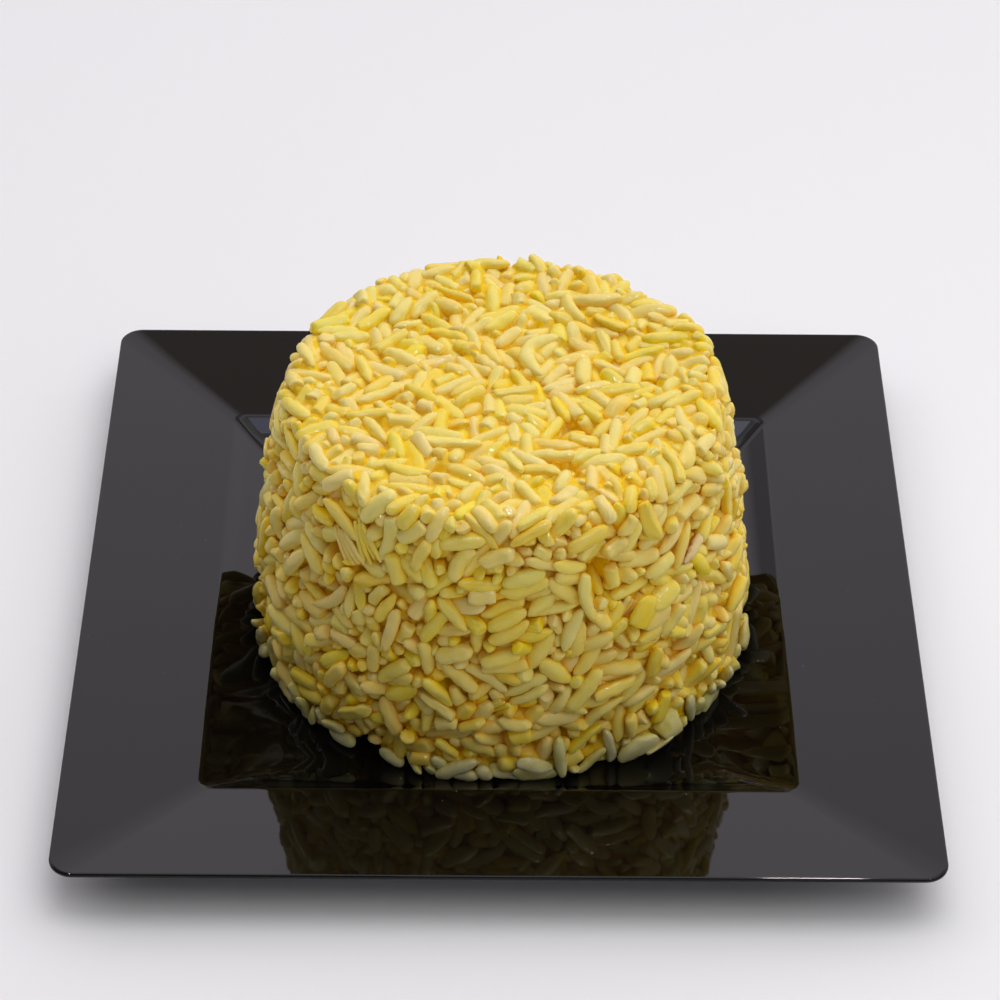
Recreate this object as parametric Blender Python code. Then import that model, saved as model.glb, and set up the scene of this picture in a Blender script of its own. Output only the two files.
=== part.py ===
"""Rice pilaf pressed in a round mould and turned out on its square black plate.

Frame: metres, +Z up. The origin is the middle of the plate's flat underside.
Nodes: plate (one moulded shell) and rice_mound (the heap out to its uneven
outline, grains standing proud as relief).
"""

import math
import random

import bmesh
import bpy
import numpy as np
from mathutils import Vector, noise

# Plate: a square dish pressed from one sheet, with a sloping rim round a well.
PLATE_SIDE = 0.165
PLATE_CORNER = 0.0045  # plan radius of the outer corners
LIP_TOP = 0.0099  # height of the rim's outer edge over the table
LIP_THICK = 0.0010
LIP_ROUND = 0.0004
RIM_INNER_HALF = 0.0565  # half width of the square where the rim meets the well
RIM_INNER_TOP = 0.0065
RIM_INNER_CORNER = 0.0026
RIM_INNER_ROUND = 0.0022  # section radius over that edge
WELL_HALF = 0.0487  # half width of the well's flat floor
WELL_CORNER = 0.0022
WELL_ROUND = 0.0020  # section radius in the floor's corner
FLOOR_TOP = 0.0014
SHELL_THICK = 0.0013
CORNER_STEPS = 5

# Mound: the mould's inside, a slightly bulged cone with a rounded top edge.
GAP = 0.0003  # clearance that touching pieces keep
MOUND_CENTRE = (0.0005, -0.0013)
MOUND_FOOT_RADIUS = 0.0488
MOUND_TOP_RADIUS = 0.0428
MOUND_BULGE = 0.0022
MOUND_FOOT_ROUND = 0.0045
MOUND_SHOULDER_Z = 0.0560
MOUND_TOP_Z = 0.0600
TOP_DIP = 0.0016  # how far the middle of the top has sunk
TOP_DIP_RADIUS = 0.020
TOP_DIP_CENTRE = (0.010, 0.004)
LUMP_HEIGHT = 0.0007  # slow unevenness of the whole surface
LUMP_LENGTH = 0.016
GRID = 28  # cells across the top; the side has four times as many columns
SIDE_ROWS = 20
SHOULDER_ROWS = 3

# Grains that make the outline uneven.
GRAIN_LENGTH = 0.0098
GRAIN_WIDTH = 0.0036
GRAIN_STAND = 0.0019  # how far a grain stands proud of the packed surface
GRAIN_COUNT = 1000
SEED = 11

BLACK_PLASTIC = (0.0045, 0.0042, 0.0040, 1.0)
COOKED_RICE = (0.72, 0.52, 0.10, 1.0)


def clear_scene():
    """Removes whatever the file opened with."""
    for obj in list(bpy.data.objects):
        bpy.data.objects.remove(obj, do_unlink=True)


def material(name, colour, roughness):
    """A Principled material of one colour."""
    made = bpy.data.materials.new(name)
    made.use_nodes = True
    shader = made.node_tree.nodes["Principled BSDF"]
    shader.inputs["Base Color"].default_value = colour
    shader.inputs["Roughness"].default_value = roughness
    shader.inputs["Metallic"].default_value = 0.0
    made.diffuse_color = colour
    return made


def finish(name, mesh_data, finish_material, sharp_degrees):
    """Makes the mesh an object of the scene, shaded smooth between its creases."""
    mesh = bpy.data.meshes.new(name)
    bmesh.ops.recalc_face_normals(mesh_data, faces=mesh_data.faces[:])
    mesh_data.to_mesh(mesh)
    mesh_data.free()
    mesh.shade_smooth()
    mesh.set_sharp_from_angle(angle=math.radians(sharp_degrees))
    mesh.materials.append(finish_material)
    obj = bpy.data.objects.new(name, mesh)
    bpy.context.scene.collection.objects.link(obj)
    return obj


# ---------------------------------------------------------------- plate


def fillet(before, corner, after, radius, steps):
    """Points of the arc that rounds a section's corner, from one side to the other."""
    corner = Vector(corner)
    to_before = (Vector(before) - corner).normalized()
    to_after = (Vector(after) - corner).normalized()
    half = to_before.angle(to_after) / 2
    reach = radius / math.tan(half)
    centre = corner + (to_before + to_after).normalized() * (radius / math.sin(half))
    start = corner + to_before * reach - centre
    end = corner + to_after * reach - centre
    swing = math.pi - 2 * half
    points = []
    for step in range(steps + 1):
        share = step / steps
        near = math.sin((1 - share) * swing) / math.sin(swing)
        far = math.sin(share * swing) / math.sin(swing)
        points.append(tuple(centre + start * near + end * far))
    return points


def shifted_corner(before, corner, after, distance):
    """Where the two lines of a section meet once both are moved down by the thickness."""
    lines = []
    for first, second in ((before, corner), (corner, after)):
        along = (Vector(second) - Vector(first)).normalized()
        down = Vector((-along.y, along.x))
        if down.y > 0:
            down = -down
        lines.append((Vector(first) + down * distance, along))
    (base_a, along_a), (base_b, along_b) = lines
    between = base_b - base_a
    cross = along_a.x * along_b.y - along_a.y * along_b.x
    reach = (between.x * along_b.y - between.y * along_b.x) / cross
    return tuple(base_a + along_a * reach)


def plan_corner(half):
    """Plan radius of the square at this half width."""
    outer = PLATE_SIDE / 2
    if half >= RIM_INNER_HALF:
        share = (half - RIM_INNER_HALF) / (outer - RIM_INNER_HALF)
        return RIM_INNER_CORNER + (PLATE_CORNER - RIM_INNER_CORNER) * share
    share = max(0.0, (half - WELL_HALF) / (RIM_INNER_HALF - WELL_HALF))
    return WELL_CORNER + (RIM_INNER_CORNER - WELL_CORNER) * share


def plate_section():
    """Half section of the shell as (half width, height), up the inside and down under it."""
    outer = PLATE_SIDE / 2
    lip = (outer, LIP_TOP)
    edge = (RIM_INNER_HALF, RIM_INNER_TOP)
    floor_edge = (WELL_HALF, FLOOR_TOP)
    middle = (0.0, FLOOR_TOP)
    low_lip = (outer, LIP_TOP - LIP_THICK)
    low_edge = shifted_corner(lip, edge, floor_edge, SHELL_THICK)
    low_floor = shifted_corner(edge, floor_edge, middle, SHELL_THICK)
    low_floor = (low_floor[0], 0.0)
    inside = fillet(middle, floor_edge, edge, WELL_ROUND, 3)
    inside += fillet(floor_edge, edge, lip, RIM_INNER_ROUND, 4)
    inside += fillet(edge, lip, low_lip, LIP_ROUND, 3)
    under = fillet(lip, low_lip, low_edge, LIP_ROUND, 2)
    under += fillet(low_lip, low_edge, low_floor, RIM_INNER_ROUND - SHELL_THICK, 2)
    under += fillet(low_edge, low_floor, (0.0, 0.0), WELL_ROUND, 2)
    return inside + under


def square_ring(half, height):
    """Corner points of a round-cornered square, anticlockwise from the +X side."""
    radius = plan_corner(half)
    ring = []
    for quarter in range(4):
        turn = math.radians(45 + 90 * quarter)
        middle = (half - radius) * math.sqrt(2)
        centre_x, centre_y = middle * math.cos(turn), middle * math.sin(turn)
        for step in range(CORNER_STEPS + 1):
            angle = turn + math.radians(90) * (step / CORNER_STEPS - 0.5)
            x = centre_x + radius * math.cos(angle)
            y = centre_y + radius * math.sin(angle)
            ring.append((x, y, height))
    return ring


def build_plate():
    """The shell: its section carried round the square, with both floors filled."""
    made = bmesh.new()
    rings = [
        [made.verts.new(point) for point in square_ring(half, height)]
        for half, height in plate_section()
    ]
    count = len(rings[0])
    for lower, upper in zip(rings, rings[1:]):
        for i in range(count):
            j = (i + 1) % count
            made.faces.new((lower[i], lower[j], upper[j], upper[i]))
    made.faces.new(rings[0])
    made.faces.new(rings[-1])
    return finish("plate", made, material("black_plastic", BLACK_PLASTIC, 0.08), 40)


# ---------------------------------------------------------------- mound


def side_radius(share):
    """Radius of the mould at this share of the way from the foot to the shoulder."""
    straight = MOUND_FOOT_RADIUS + (MOUND_TOP_RADIUS - MOUND_FOOT_RADIUS) * share
    return straight + MOUND_BULGE * 4 * share * (1 - share)


def side_point(share):
    """(radius, height, outward, up) on the side, drawn in under the foot."""
    bottom = FLOOR_TOP + GAP
    height = bottom + (MOUND_SHOULDER_Z - bottom) * share
    radius = side_radius(share)
    above = (height - bottom) / MOUND_FOOT_ROUND
    if above < 1:
        radius -= 0.5 * MOUND_FOOT_ROUND * (1 - math.sqrt(1 - (1 - above) ** 2))
    return radius, height, 1.0, 0.05


def shoulder_point(share):
    """(radius, height, outward, up) on the rounded edge between side and top."""
    turn = math.radians(90) * share
    drop = MOUND_TOP_Z - MOUND_SHOULDER_Z
    radius = MOUND_TOP_RADIUS - drop + drop * math.cos(turn)
    height = MOUND_SHOULDER_Z + drop * math.sin(turn)
    return radius, height, math.cos(turn), math.sin(turn)


def disc_point(across, along):
    """Maps the square from -1 to 1 onto the unit disc, cell for cell."""
    if across == 0 and along == 0:
        return 0.0, 0.0
    if abs(across) > abs(along):
        reach, angle = across, math.pi / 4 * along / across
    else:
        reach, angle = along, math.pi / 2 - math.pi / 4 * across / along
    return reach * math.cos(angle), reach * math.sin(angle)


def border_cells():
    """Grid indices round the top's border, anticlockwise from the +X, -Y corner."""
    cells = [(GRID, j) for j in range(GRID)]
    cells += [(GRID - i, GRID) for i in range(GRID)]
    cells += [(0, GRID - j) for j in range(GRID)]
    cells += [(i, 0) for i in range(GRID)]
    return cells


def mould_surface():
    """Points and outward directions of the smooth mould, and the faces between them."""
    points, outward, faces = [], [], []
    rows = [side_point(row / SIDE_ROWS) for row in range(SIDE_ROWS + 1)]
    rows += [shoulder_point(row / SHOULDER_ROWS) for row in range(1, SHOULDER_ROWS)]
    columns = 4 * GRID
    for radius, height, out, up in rows:
        for column in range(columns):
            angle = 2 * math.pi * column / columns - math.pi / 4
            points.append((radius * math.cos(angle), radius * math.sin(angle), height))
            outward.append((out * math.cos(angle), out * math.sin(angle), up))
    for row in range(len(rows) - 1):
        for column in range(columns):
            here, after = row * columns, (row + 1) * columns
            turn = (column + 1) % columns
            faces.append((here + column, here + turn, after + turn, after + column))
    faces.append(tuple(reversed(range(columns))))
    first_top = len(points)
    top_radius = shoulder_point(1.0)[0]
    for i in range(GRID + 1):
        for j in range(GRID + 1):
            x, y = disc_point(2 * i / GRID - 1, 2 * j / GRID - 1)
            points.append((x * top_radius, y * top_radius, MOUND_TOP_Z))
            outward.append((0.0, 0.0, 1.0))

    def top_index(i, j):
        return first_top + i * (GRID + 1) + j

    for i in range(GRID):
        for j in range(GRID):
            cell = ((i, j), (i + 1, j), (i + 1, j + 1), (i, j + 1))
            faces.append(tuple(top_index(*corner) for corner in cell))
    border = [top_index(*cell) for cell in border_cells()]
    last = (len(rows) - 1) * columns
    for column in range(columns):
        turn = (column + 1) % columns
        faces.append((last + column, last + turn, border[turn], border[column]))
    return np.array(points), np.array(outward), faces


def grain_relief(points, outward):
    """How far each point stands out where grains lie over it, from 0 to GRAIN_STAND."""
    rng = random.Random(SEED)
    relief = np.zeros(len(points))
    candidates = [i for i in range(len(points)) if points[i][2] > FLOOR_TOP + 2 * GAP]
    for _ in range(GRAIN_COUNT):
        index = rng.choice(candidates)
        normal = Vector(outward[index]).normalized()
        middle = Vector(points[index])
        middle += Vector([rng.uniform(-1, 1) for _ in range(3)]) * GRAIN_WIDTH / 2
        lie = Vector([rng.gauss(0, 1) for _ in range(3)])
        along = (lie - normal * lie.dot(normal)).normalized()
        across = normal.cross(along)
        length = GRAIN_LENGTH * rng.uniform(0.7, 1.1) / 2
        width = GRAIN_WIDTH * rng.uniform(0.9, 1.1) / 2
        stand = GRAIN_STAND * rng.uniform(0.5, 1.0)
        offset = points - np.array(middle)
        reach = (offset @ np.array(along) / length) ** 2
        reach += (offset @ np.array(across) / width) ** 2
        reach += (offset @ np.array(normal) / (2 * width)) ** 2
        height = stand * np.sqrt(np.clip(1 - reach, 0, 1))
        relief = np.maximum(relief, height)
    return relief


def slow_lumps(points):
    """The heap's own unevenness, longer than a grain."""
    return np.array(
        [LUMP_HEIGHT * noise.noise(Vector(point) / LUMP_LENGTH) for point in points]
    )


def build_mound():
    """The heap: the mould's form, uneven all over, sunk a little on top."""
    points, outward, faces = mould_surface()
    relief = grain_relief(points, outward) - 0.5 * GRAIN_STAND + slow_lumps(points)
    bottom = FLOOR_TOP + GAP
    steady = np.clip((points[:, 2] - bottom) / MOUND_FOOT_ROUND, 0, 1)
    shaped = points + outward * (relief * steady)[:, None]
    away = np.hypot(
        points[:, 0] - TOP_DIP_CENTRE[0], points[:, 1] - TOP_DIP_CENTRE[1]
    )
    dip = TOP_DIP * np.exp(-((away / TOP_DIP_RADIUS) ** 2))
    shaped[:, 2] -= np.where(points[:, 2] >= MOUND_TOP_Z - 1e-6, dip, 0)
    shaped[:, 0] += MOUND_CENTRE[0]
    shaped[:, 1] += MOUND_CENTRE[1]
    made = bmesh.new()
    verts = [made.verts.new(tuple(point)) for point in shaped]
    for face in faces:
        made.faces.new([verts[index] for index in face])
    bmesh.ops.remove_doubles(made, verts=made.verts[:], dist=1e-6)
    loose = [vert for vert in made.verts if not vert.link_faces]
    bmesh.ops.delete(made, geom=loose, context="VERTS")
    quads = [face for face in made.faces if len(face.verts) == 4]
    bmesh.ops.triangulate(made, faces=quads, quad_method="SHORT_EDGE")
    return finish("rice_mound", made, material("cooked_rice", COOKED_RICE, 0.45), 60)


def main():
    clear_scene()
    build_plate()
    build_mound()


main()
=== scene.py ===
"""Looks of a moulded rice pilaf on its square black plate.

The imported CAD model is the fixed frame. Everything here is modelled in
millimetres and written out in metres, in the same frame: +Z up, origin in the
middle of the plate's flat underside.
"""

import logging
import math
from dataclasses import dataclass, field
from enum import Enum
from typing import Any

import bpy
import numpy as np
from mathutils import Matrix, Vector


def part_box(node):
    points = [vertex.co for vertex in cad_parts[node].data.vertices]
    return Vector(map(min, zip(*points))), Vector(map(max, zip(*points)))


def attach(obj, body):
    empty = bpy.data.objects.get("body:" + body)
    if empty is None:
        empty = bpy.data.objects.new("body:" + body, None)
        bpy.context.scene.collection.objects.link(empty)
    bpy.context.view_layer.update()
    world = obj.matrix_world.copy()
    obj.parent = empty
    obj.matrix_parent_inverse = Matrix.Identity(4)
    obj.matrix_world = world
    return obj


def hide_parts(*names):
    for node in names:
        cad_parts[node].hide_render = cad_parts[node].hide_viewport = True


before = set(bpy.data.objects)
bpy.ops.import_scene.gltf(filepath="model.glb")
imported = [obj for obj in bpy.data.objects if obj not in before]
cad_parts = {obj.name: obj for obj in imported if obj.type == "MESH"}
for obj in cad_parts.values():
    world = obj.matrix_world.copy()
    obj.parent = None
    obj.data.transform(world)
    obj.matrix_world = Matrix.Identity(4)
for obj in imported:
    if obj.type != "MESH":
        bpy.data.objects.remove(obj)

LOG = logging.getLogger("pilaf")
METRES = 0.001  # one millimetre
EVEN_STEP = 1.2207440846057596  # its powers spread points evenly in three numbers
TINY = 1e-9  # keeps a division by a length from failing
Array = np.ndarray
Span = tuple[float, float]  # often the ends of a range
Triple = tuple[float, float, float]
Four = tuple[float, float, float, float]


# ------------------------------------------------------------------ helpers


def linear(hex_colour: str) -> Four:
    """Turns an sRGB hex colour into the linear colour that shaders take.

    Args:
        hex_colour: six hex digits, with or without a leading "#".

    Returns:
        Linear red, green and blue, and an alpha of 1.
    """
    digits = hex_colour.lstrip("#")
    shares = [int(digits[i : i + 2], 16) / 255 for i in (0, 2, 4)]
    red, green, blue = (
        share / 12.92 if share <= 0.04045 else ((share + 0.055) / 1.055) ** 2.4 for share in shares
    )
    return red, green, blue, 1.0


def add_node(
    tree: bpy.types.NodeTree,
    kind: str,
    settings: dict[str | int, Any] | None = None,
    links: dict[str | int, Any] | None = None,
) -> bpy.types.Node:
    """Adds one node with its settings and links.

    Args:
        tree: the node tree that gets the node.
        kind: the node's type name, without "ShaderNode".
        settings: values by the name or number of an input socket, or by the
            name of a property of the node.
        links: what feeds its inputs, by input name or number: a socket, or a
            node, which gives its first output.

    Returns:
        The new node.
    """
    node = tree.nodes.new("ShaderNode" + kind)
    for name, value in (settings or {}).items():
        if isinstance(name, int) or name in node.inputs:
            node.inputs[name].default_value = value
        else:
            setattr(node, name, value)
    for name, source in (links or {}).items():
        socket = source.outputs[0] if isinstance(source, bpy.types.Node) else source
        tree.links.new(socket, node.inputs[name])
    return node


def ramp_stops(node: bpy.types.Node, stops: list[tuple[float, str]]) -> None:
    """Sets a colour ramp's stops from positions and hex colours.

    Args:
        node: the colour ramp.
        stops: position and colour of each stop, in order.
    """
    elements = node.color_ramp.elements
    while len(elements) > 1:
        elements.remove(elements[-1])
    elements[0].position, elements[0].color = stops[0][0], linear(stops[0][1])
    for position, colour in stops[1:]:
        elements.new(position).color = linear(colour)


def new_material(name: str) -> tuple[bpy.types.Material, bpy.types.NodeTree]:
    """Starts a material with an empty node tree.

    Args:
        name: the material's name.

    Returns:
        The material and its node tree.
    """
    made = bpy.data.materials.new(name)
    made.use_nodes = True
    made.node_tree.nodes.clear()
    return made, made.node_tree


def unit(vectors: Array) -> Array:
    """Scales the vectors along the last axis to length 1."""
    return vectors / np.maximum(np.linalg.norm(vectors, axis=-1), TINY)[..., None]


def tube_faces(rings: int, sides: int) -> tuple[Array, Array]:
    """Faces of a tube of rings that closes in one point at each end.

    Args:
        rings: number of rings; their points come one ring after another.
        sides: number of points in a ring.

    Returns:
        The quads between the rings, and the triangles round the two end
        points, which are numbered after the rings: first end, last end.
    """
    j = np.arange(sides)
    turn = (j + 1) % sides
    quads = [
        np.stack([k + j, k + sides + j, k + sides + turn, k + turn], axis=1)
        for k in range(0, (rings - 1) * sides, sides)
    ]
    first, end = rings * sides, (rings - 1) * sides
    caps = [
        np.stack([np.full(sides, first), j, turn], axis=1),
        np.stack([np.full(sides, first + 1), end + turn, end + j], axis=1),
    ]
    return np.concatenate(quads), np.concatenate(caps)


def mesh_piece(
    name: str,
    points_mm: Array,
    quads: Array,
    triangles: Array,
    finish: bpy.types.Material,
    traits: Array | None = None,
    lie: Array | None = None,
) -> bpy.types.Object:
    """Makes a smooth-shaded mesh object from arrays.

    Args:
        name: the piece's name.
        points_mm: its points, in millimetres.
        quads: point numbers of its four-sided faces.
        triangles: point numbers of its three-sided faces.
        finish: its material.
        traits: four numbers for each point, read by the material, or None.
        lie: outward direction of the whole heap at each point, or None.

    Returns:
        The object, linked to the scene.
    """
    mesh = bpy.data.meshes.new(name)
    mesh.vertices.add(len(points_mm))
    mesh.vertices.foreach_set("co", (points_mm * METRES).astype(np.float32).ravel())
    corners = np.concatenate([quads.ravel(), triangles.ravel()]).astype(np.int32)
    sizes = np.array([4] * len(quads) + [3] * len(triangles), np.int32)
    mesh.loops.add(len(corners))
    mesh.loops.foreach_set("vertex_index", corners)
    mesh.polygons.add(len(sizes))
    mesh.polygons.foreach_set("loop_start", (np.cumsum(sizes) - sizes).astype(np.int32))
    mesh.polygons.foreach_set("use_smooth", np.ones(len(sizes), bool))
    mesh.update(calc_edges=True)
    layers = (("traits", "FLOAT_COLOR", "color", traits), ("lie", "FLOAT_VECTOR", "vector", lie))
    for layer_name, kind, key, values in layers:
        if values is not None:
            layer = mesh.attributes.new(layer_name, kind, "POINT")
            layer.data.foreach_set(key, values.astype(np.float32).ravel())
    mesh.materials.append(finish)
    piece = bpy.data.objects.new(name, mesh)
    bpy.context.scene.collection.objects.link(piece)
    LOG.info("%s: %d triangles", name, 2 * len(quads) + len(triangles))
    return piece


# ----------------------------------------------------------------- finishes


@dataclass(frozen=True)
class PolishedPolystyrene:
    """Black polystyrene, injection moulded in a polished tool.

    It looks like black lacquer: nearly no colour of its own, a clear and
    slightly wavy mirror of what is round it, and white specks of dust.
    """

    colour: str = "#0a0908"
    dust: str = "#8d8a86"
    ior: float = 1.31  # under clean polystyrene's 1.59, for a mirror dimmed by handling
    roughness: float = 0.035
    dust_roughness: float = 0.5
    wave_mm: float = 26.0  # length of the sheet's slow waviness
    wave_height_mm: float = 2.0
    wave_share: float = 0.05  # how much of that height shows
    speck_mm: float = 2.6  # spacing of the dust specks
    speck_size: float = 0.045  # radius of a speck as a share of the spacing
    speck_core: float = 0.5  # share of that radius that is all dust
    clean: float = 0.9  # share of the places that hold no speck

    def material(self) -> bpy.types.Material:
        """Builds the plate's material.

        Returns:
            The material.
        """
        made, tree = new_material("polished_polystyrene")
        place = add_node(tree, "TexCoord").outputs["Object"]
        cells = add_node(
            tree,
            "TexVoronoi",
            {"Scale": 1 / (self.speck_mm * METRES), "Randomness": 1.0},
            {"Vector": place},
        )
        is_speck = add_node(
            tree,
            "MapRange",
            {"From Min": self.speck_size, "From Max": self.speck_size * self.speck_core},
            {"Value": cells.outputs["Distance"]},
        )
        chance = add_node(tree, "SeparateColor", links={"Color": cells.outputs["Color"]})
        rare = add_node(tree, "Math", {"operation": "GREATER_THAN", 1: self.clean}, {0: chance})
        dusty = add_node(tree, "Math", {"operation": "MULTIPLY"}, {0: is_speck, 1: rare})
        colours = {6: linear(self.colour), 7: linear(self.dust)}
        colour = add_node(tree, "Mix", {"data_type": "RGBA", **colours}, {0: dusty})
        waves = add_node(
            tree,
            "TexNoise",
            {"Scale": 1 / (self.wave_mm * METRES), "Detail": 1.0},
            {"Vector": place},
        )
        bump = add_node(
            tree,
            "Bump",
            {"Strength": self.wave_share, "Distance": self.wave_height_mm * METRES},
            {"Height": waves.outputs["Fac"]},
        )
        rough = add_node(
            tree,
            "MapRange",
            {"To Min": self.roughness, "To Max": self.dust_roughness},
            {"Value": dusty},
        )
        shader = add_node(
            tree,
            "BsdfPrincipled",
            {"IOR": self.ior},
            {"Base Color": colour.outputs[2], "Roughness": rough, "Normal": bump},
        )
        add_node(tree, "OutputMaterial", links={"Surface": shader})
        return made


@dataclass(frozen=True)
class CookedRice:
    """Parboiled long-grain rice boiled with turmeric and a little oil.

    Light sinks a millimetre or two into the starch and comes back yellow. The
    material paints that in as shade: the sides of a grain, and the places where
    it lies sunk deep in the heap, are coloured a deeper yellow than its lit
    top. The skin is waxy, with small wet glints.

    A grain's uprightness is how far its skin faces the way that the heap
    faces there: 1 on its back, 0 on its sides.
    """

    name: str = "cooked_rice"
    pale: str = "#f2dd64"
    yellow: str = "#f6d81a"
    # deep is also the painted shade of the sides and of the places sunk in the heap
    deep: str = "#f8d200"
    tip: str = "#f4ebb8"
    stops: Triple = (0.2, 0.56, 1.0)  # tones that are pale, yellow and deep
    edge: float = 0.4  # painted shade: how much deeper yellow the sides are coloured than the lit back
    side_shade_between: Span = (0.75, -0.1)  # uprightness where that painted shade starts and is full
    spread: float = 0.15  # how far light inside evens the shading out, 0 to 1
    spread_between: Span = (0.05, 0.8)
    roughness: float = 0.40
    roughness_sway: float = 0.14  # its change from clear to chalky patches
    rough_between: Span = (0.35, 0.7)  # chalkiness that is smoothest and roughest
    ior: float = 1.36
    gloss: float = 0.1  # of the bare starch under the film, 0.5 being a clean surface
    wet: float = 0.8  # share of the skin under a film of water and oil
    wet_between: Span = (0.3, 0.8)
    film_ior: float = 1.33
    film_roughness: float = 0.1
    hue_sway: float = 0.010  # how far single grains turn to orange or green
    pallor: float = 0.18  # how much less stock the palest grains took up
    mottle_mm: float = 1.6  # chalky patches inside a grain
    mottle: float = 0.42  # how far they shift the tone
    skin_mm: float = 0.28  # fine wrinkles of the skin
    skin_height_mm: float = 0.12
    skin_share: float = 0.5  # how much of that height shows
    drop_mm: float = 0.55  # unevenness of the wet film
    drop_height_mm: float = 0.3
    drop_share: float = 0.6

    def material(self) -> bpy.types.Material:
        """Builds the grains' material.

        Returns:
            The material.
        """
        made, tree = new_material(self.name)
        place = add_node(tree, "TexCoord").outputs["Object"]
        traits, heap = (
            add_node(tree, "Attribute", {"attribute_name": name, "attribute_type": "GEOMETRY"})
            for name in ("traits", "lie")
        )
        own = add_node(tree, "NewGeometry").outputs["Normal"]
        each = add_node(tree, "SeparateColor", links={"Color": traits.outputs["Color"]})
        mottle, skin, drops = (
            add_node(
                tree,
                "TexNoise",
                {"Scale": 1 / (size * METRES), "Detail": detail},
                {"Vector": place},
            ).outputs["Fac"]
            for size, detail in ((self.mottle_mm, 2.0), (self.skin_mm, 3.0), (self.drop_mm, 1.0))
        )
        upright = add_node(
            tree, "VectorMath", {"operation": "DOT_PRODUCT"}, {0: own, 1: heap.outputs["Vector"]}
        ).outputs["Value"]
        # edge is painted shade: a deeper yellow on the sides, where the grain faces away from the
        # heap's outward way
        edge, share, wet = (
            add_node(
                tree,
                "MapRange",
                {"From Min": start, "From Max": end, "To Min": 0.0, "To Max": most},
                {"Value": upright},
            )
            for (start, end), most in (
                (self.side_shade_between, self.edge),
                (self.spread_between, self.spread),
                (self.wet_between, self.wet),
            )
        )
        hue, pallor, rough = (
            add_node(
                tree,
                "MapRange",
                {"From Min": start, "From Max": end, "To Min": least, "To Max": most},
                {"Value": source},
            )
            for source, (start, end), least, most in (
                (traits.outputs["Alpha"], (0.0, 1.0), 0.5 - self.hue_sway, 0.5 + self.hue_sway),
                (each.outputs[1], (0.0, 1.0), 1.0, 1.0 - self.pallor),
                (
                    mottle,
                    self.rough_between,
                    self.roughness - self.roughness_sway,
                    self.roughness + self.roughness_sway,
                ),
            )
        )
        patchy = {"operation": "MULTIPLY_ADD", 1: self.mottle}
        # The grains' tone is deeper where they lie sunk in the heap, as painted shade of the gaps;
        # the sides' painted shade is added to it.
        tone = add_node(tree, "Math", patchy, {0: mottle, 2: each.outputs[0]})
        toned = add_node(tree, "Math", {"operation": "ADD"}, {0: tone, 1: edge})
        colour = add_node(tree, "ValToRGB", links={"Fac": toned})
        ramp_stops(colour, list(zip(self.stops, (self.pale, self.yellow, self.deep))))
        own_hue = add_node(
            tree, "HueSaturation", links={"Hue": hue, "Saturation": pallor, "Color": colour}
        )
        white = {"data_type": "RGBA", 7: linear(self.tip)}
        tips = add_node(tree, "Mix", white, {0: each.outputs[2], 6: own_hue})
        evened = add_node(
            tree, "Mix", {"data_type": "VECTOR"}, {0: share, 4: own, 5: heap.outputs["Vector"]}
        )
        facing = add_node(tree, "VectorMath", {"operation": "NORMALIZE"}, {0: evened.outputs[1]})
        wrinkles = {"Strength": self.skin_share, "Distance": self.skin_height_mm * METRES}
        bump = add_node(tree, "Bump", wrinkles, {"Height": skin, "Normal": facing})
        beads = {"Strength": self.drop_share, "Distance": self.drop_height_mm * METRES}
        film = add_node(tree, "Bump", beads, {"Height": drops})
        shader = add_node(
            tree,
            "BsdfPrincipled",
            {
                "IOR": self.ior,
                "Specular IOR Level": self.gloss,
                "Coat Roughness": self.film_roughness,
                "Coat IOR": self.film_ior,
            },
            {
                "Base Color": tips.outputs[2],
                "Roughness": rough,
                "Normal": bump,
                "Coat Weight": wet,
                "Coat Normal": film,
            },
        )
        add_node(tree, "OutputMaterial", links={"Surface": shader})
        return made


@dataclass(frozen=True)
class SoakedRice(CookedRice):
    """Rice at the heap's foot that has soaked in the liquid on the plate.

    The starch has gone glassy: light passes further, the yellow has washed
    out to a pale green-white, and the wet skin glints.
    """

    name: str = "soaked_rice"
    pale: str = "#dcd8a0"
    yellow: str = "#d6cc68"
    deep: str = "#ccb840"
    tip: str = "#e2e2c4"
    roughness: float = 0.24
    wet: float = 1.0


@dataclass(frozen=True)
class RiceBran(CookedRice):
    """A grain that kept its bran: a reddish-brown, dull skin."""

    name: str = "rice_bran"
    pale: str = "#f4e090"
    yellow: str = "#e8be66"
    deep: str = "#b06c34"
    tip: str = "#f8f4e8"
    roughness: float = 0.42
    wet: float = 0.2


@dataclass(frozen=True)
class PackedStarch:
    """The pressed rice behind the outer grains, soaked in yellow stock.

    It only shows deep in the gaps. Its deep, dull yellow is the rice's own
    yellow made deeper as painted shade, for light that bounces between the
    grains there.
    """

    # Both colours are the rice's yellow made deeper as painted gap shade; the noise only picks
    # between them in patches.
    colour: str = "#f6d00c"
    shade: str = "#eec408"
    stops: Span = (0.35, 0.65)  # patches that are all shade and all colour
    roughness: float = 0.45
    gloss: float = 0.15
    patch_mm: float = 4.0

    def material(self) -> bpy.types.Material:
        """Builds the core's material.

        Returns:
            The material.
        """
        made, tree = new_material("packed_starch")
        place = add_node(tree, "TexCoord").outputs["Object"]
        patches = add_node(
            tree,
            "TexNoise",
            {"Scale": 1 / (self.patch_mm * METRES), "Detail": 3.0},
            {"Vector": place},
        )
        colour = add_node(tree, "ValToRGB", links={"Fac": patches.outputs["Fac"]})
        ramp_stops(colour, list(zip(self.stops, (self.shade, self.colour))))
        dull = {"Roughness": self.roughness, "Specular IOR Level": self.gloss}
        shader = add_node(tree, "BsdfPrincipled", dull, {"Base Color": colour})
        add_node(tree, "OutputMaterial", links={"Surface": shader})
        return made


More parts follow.
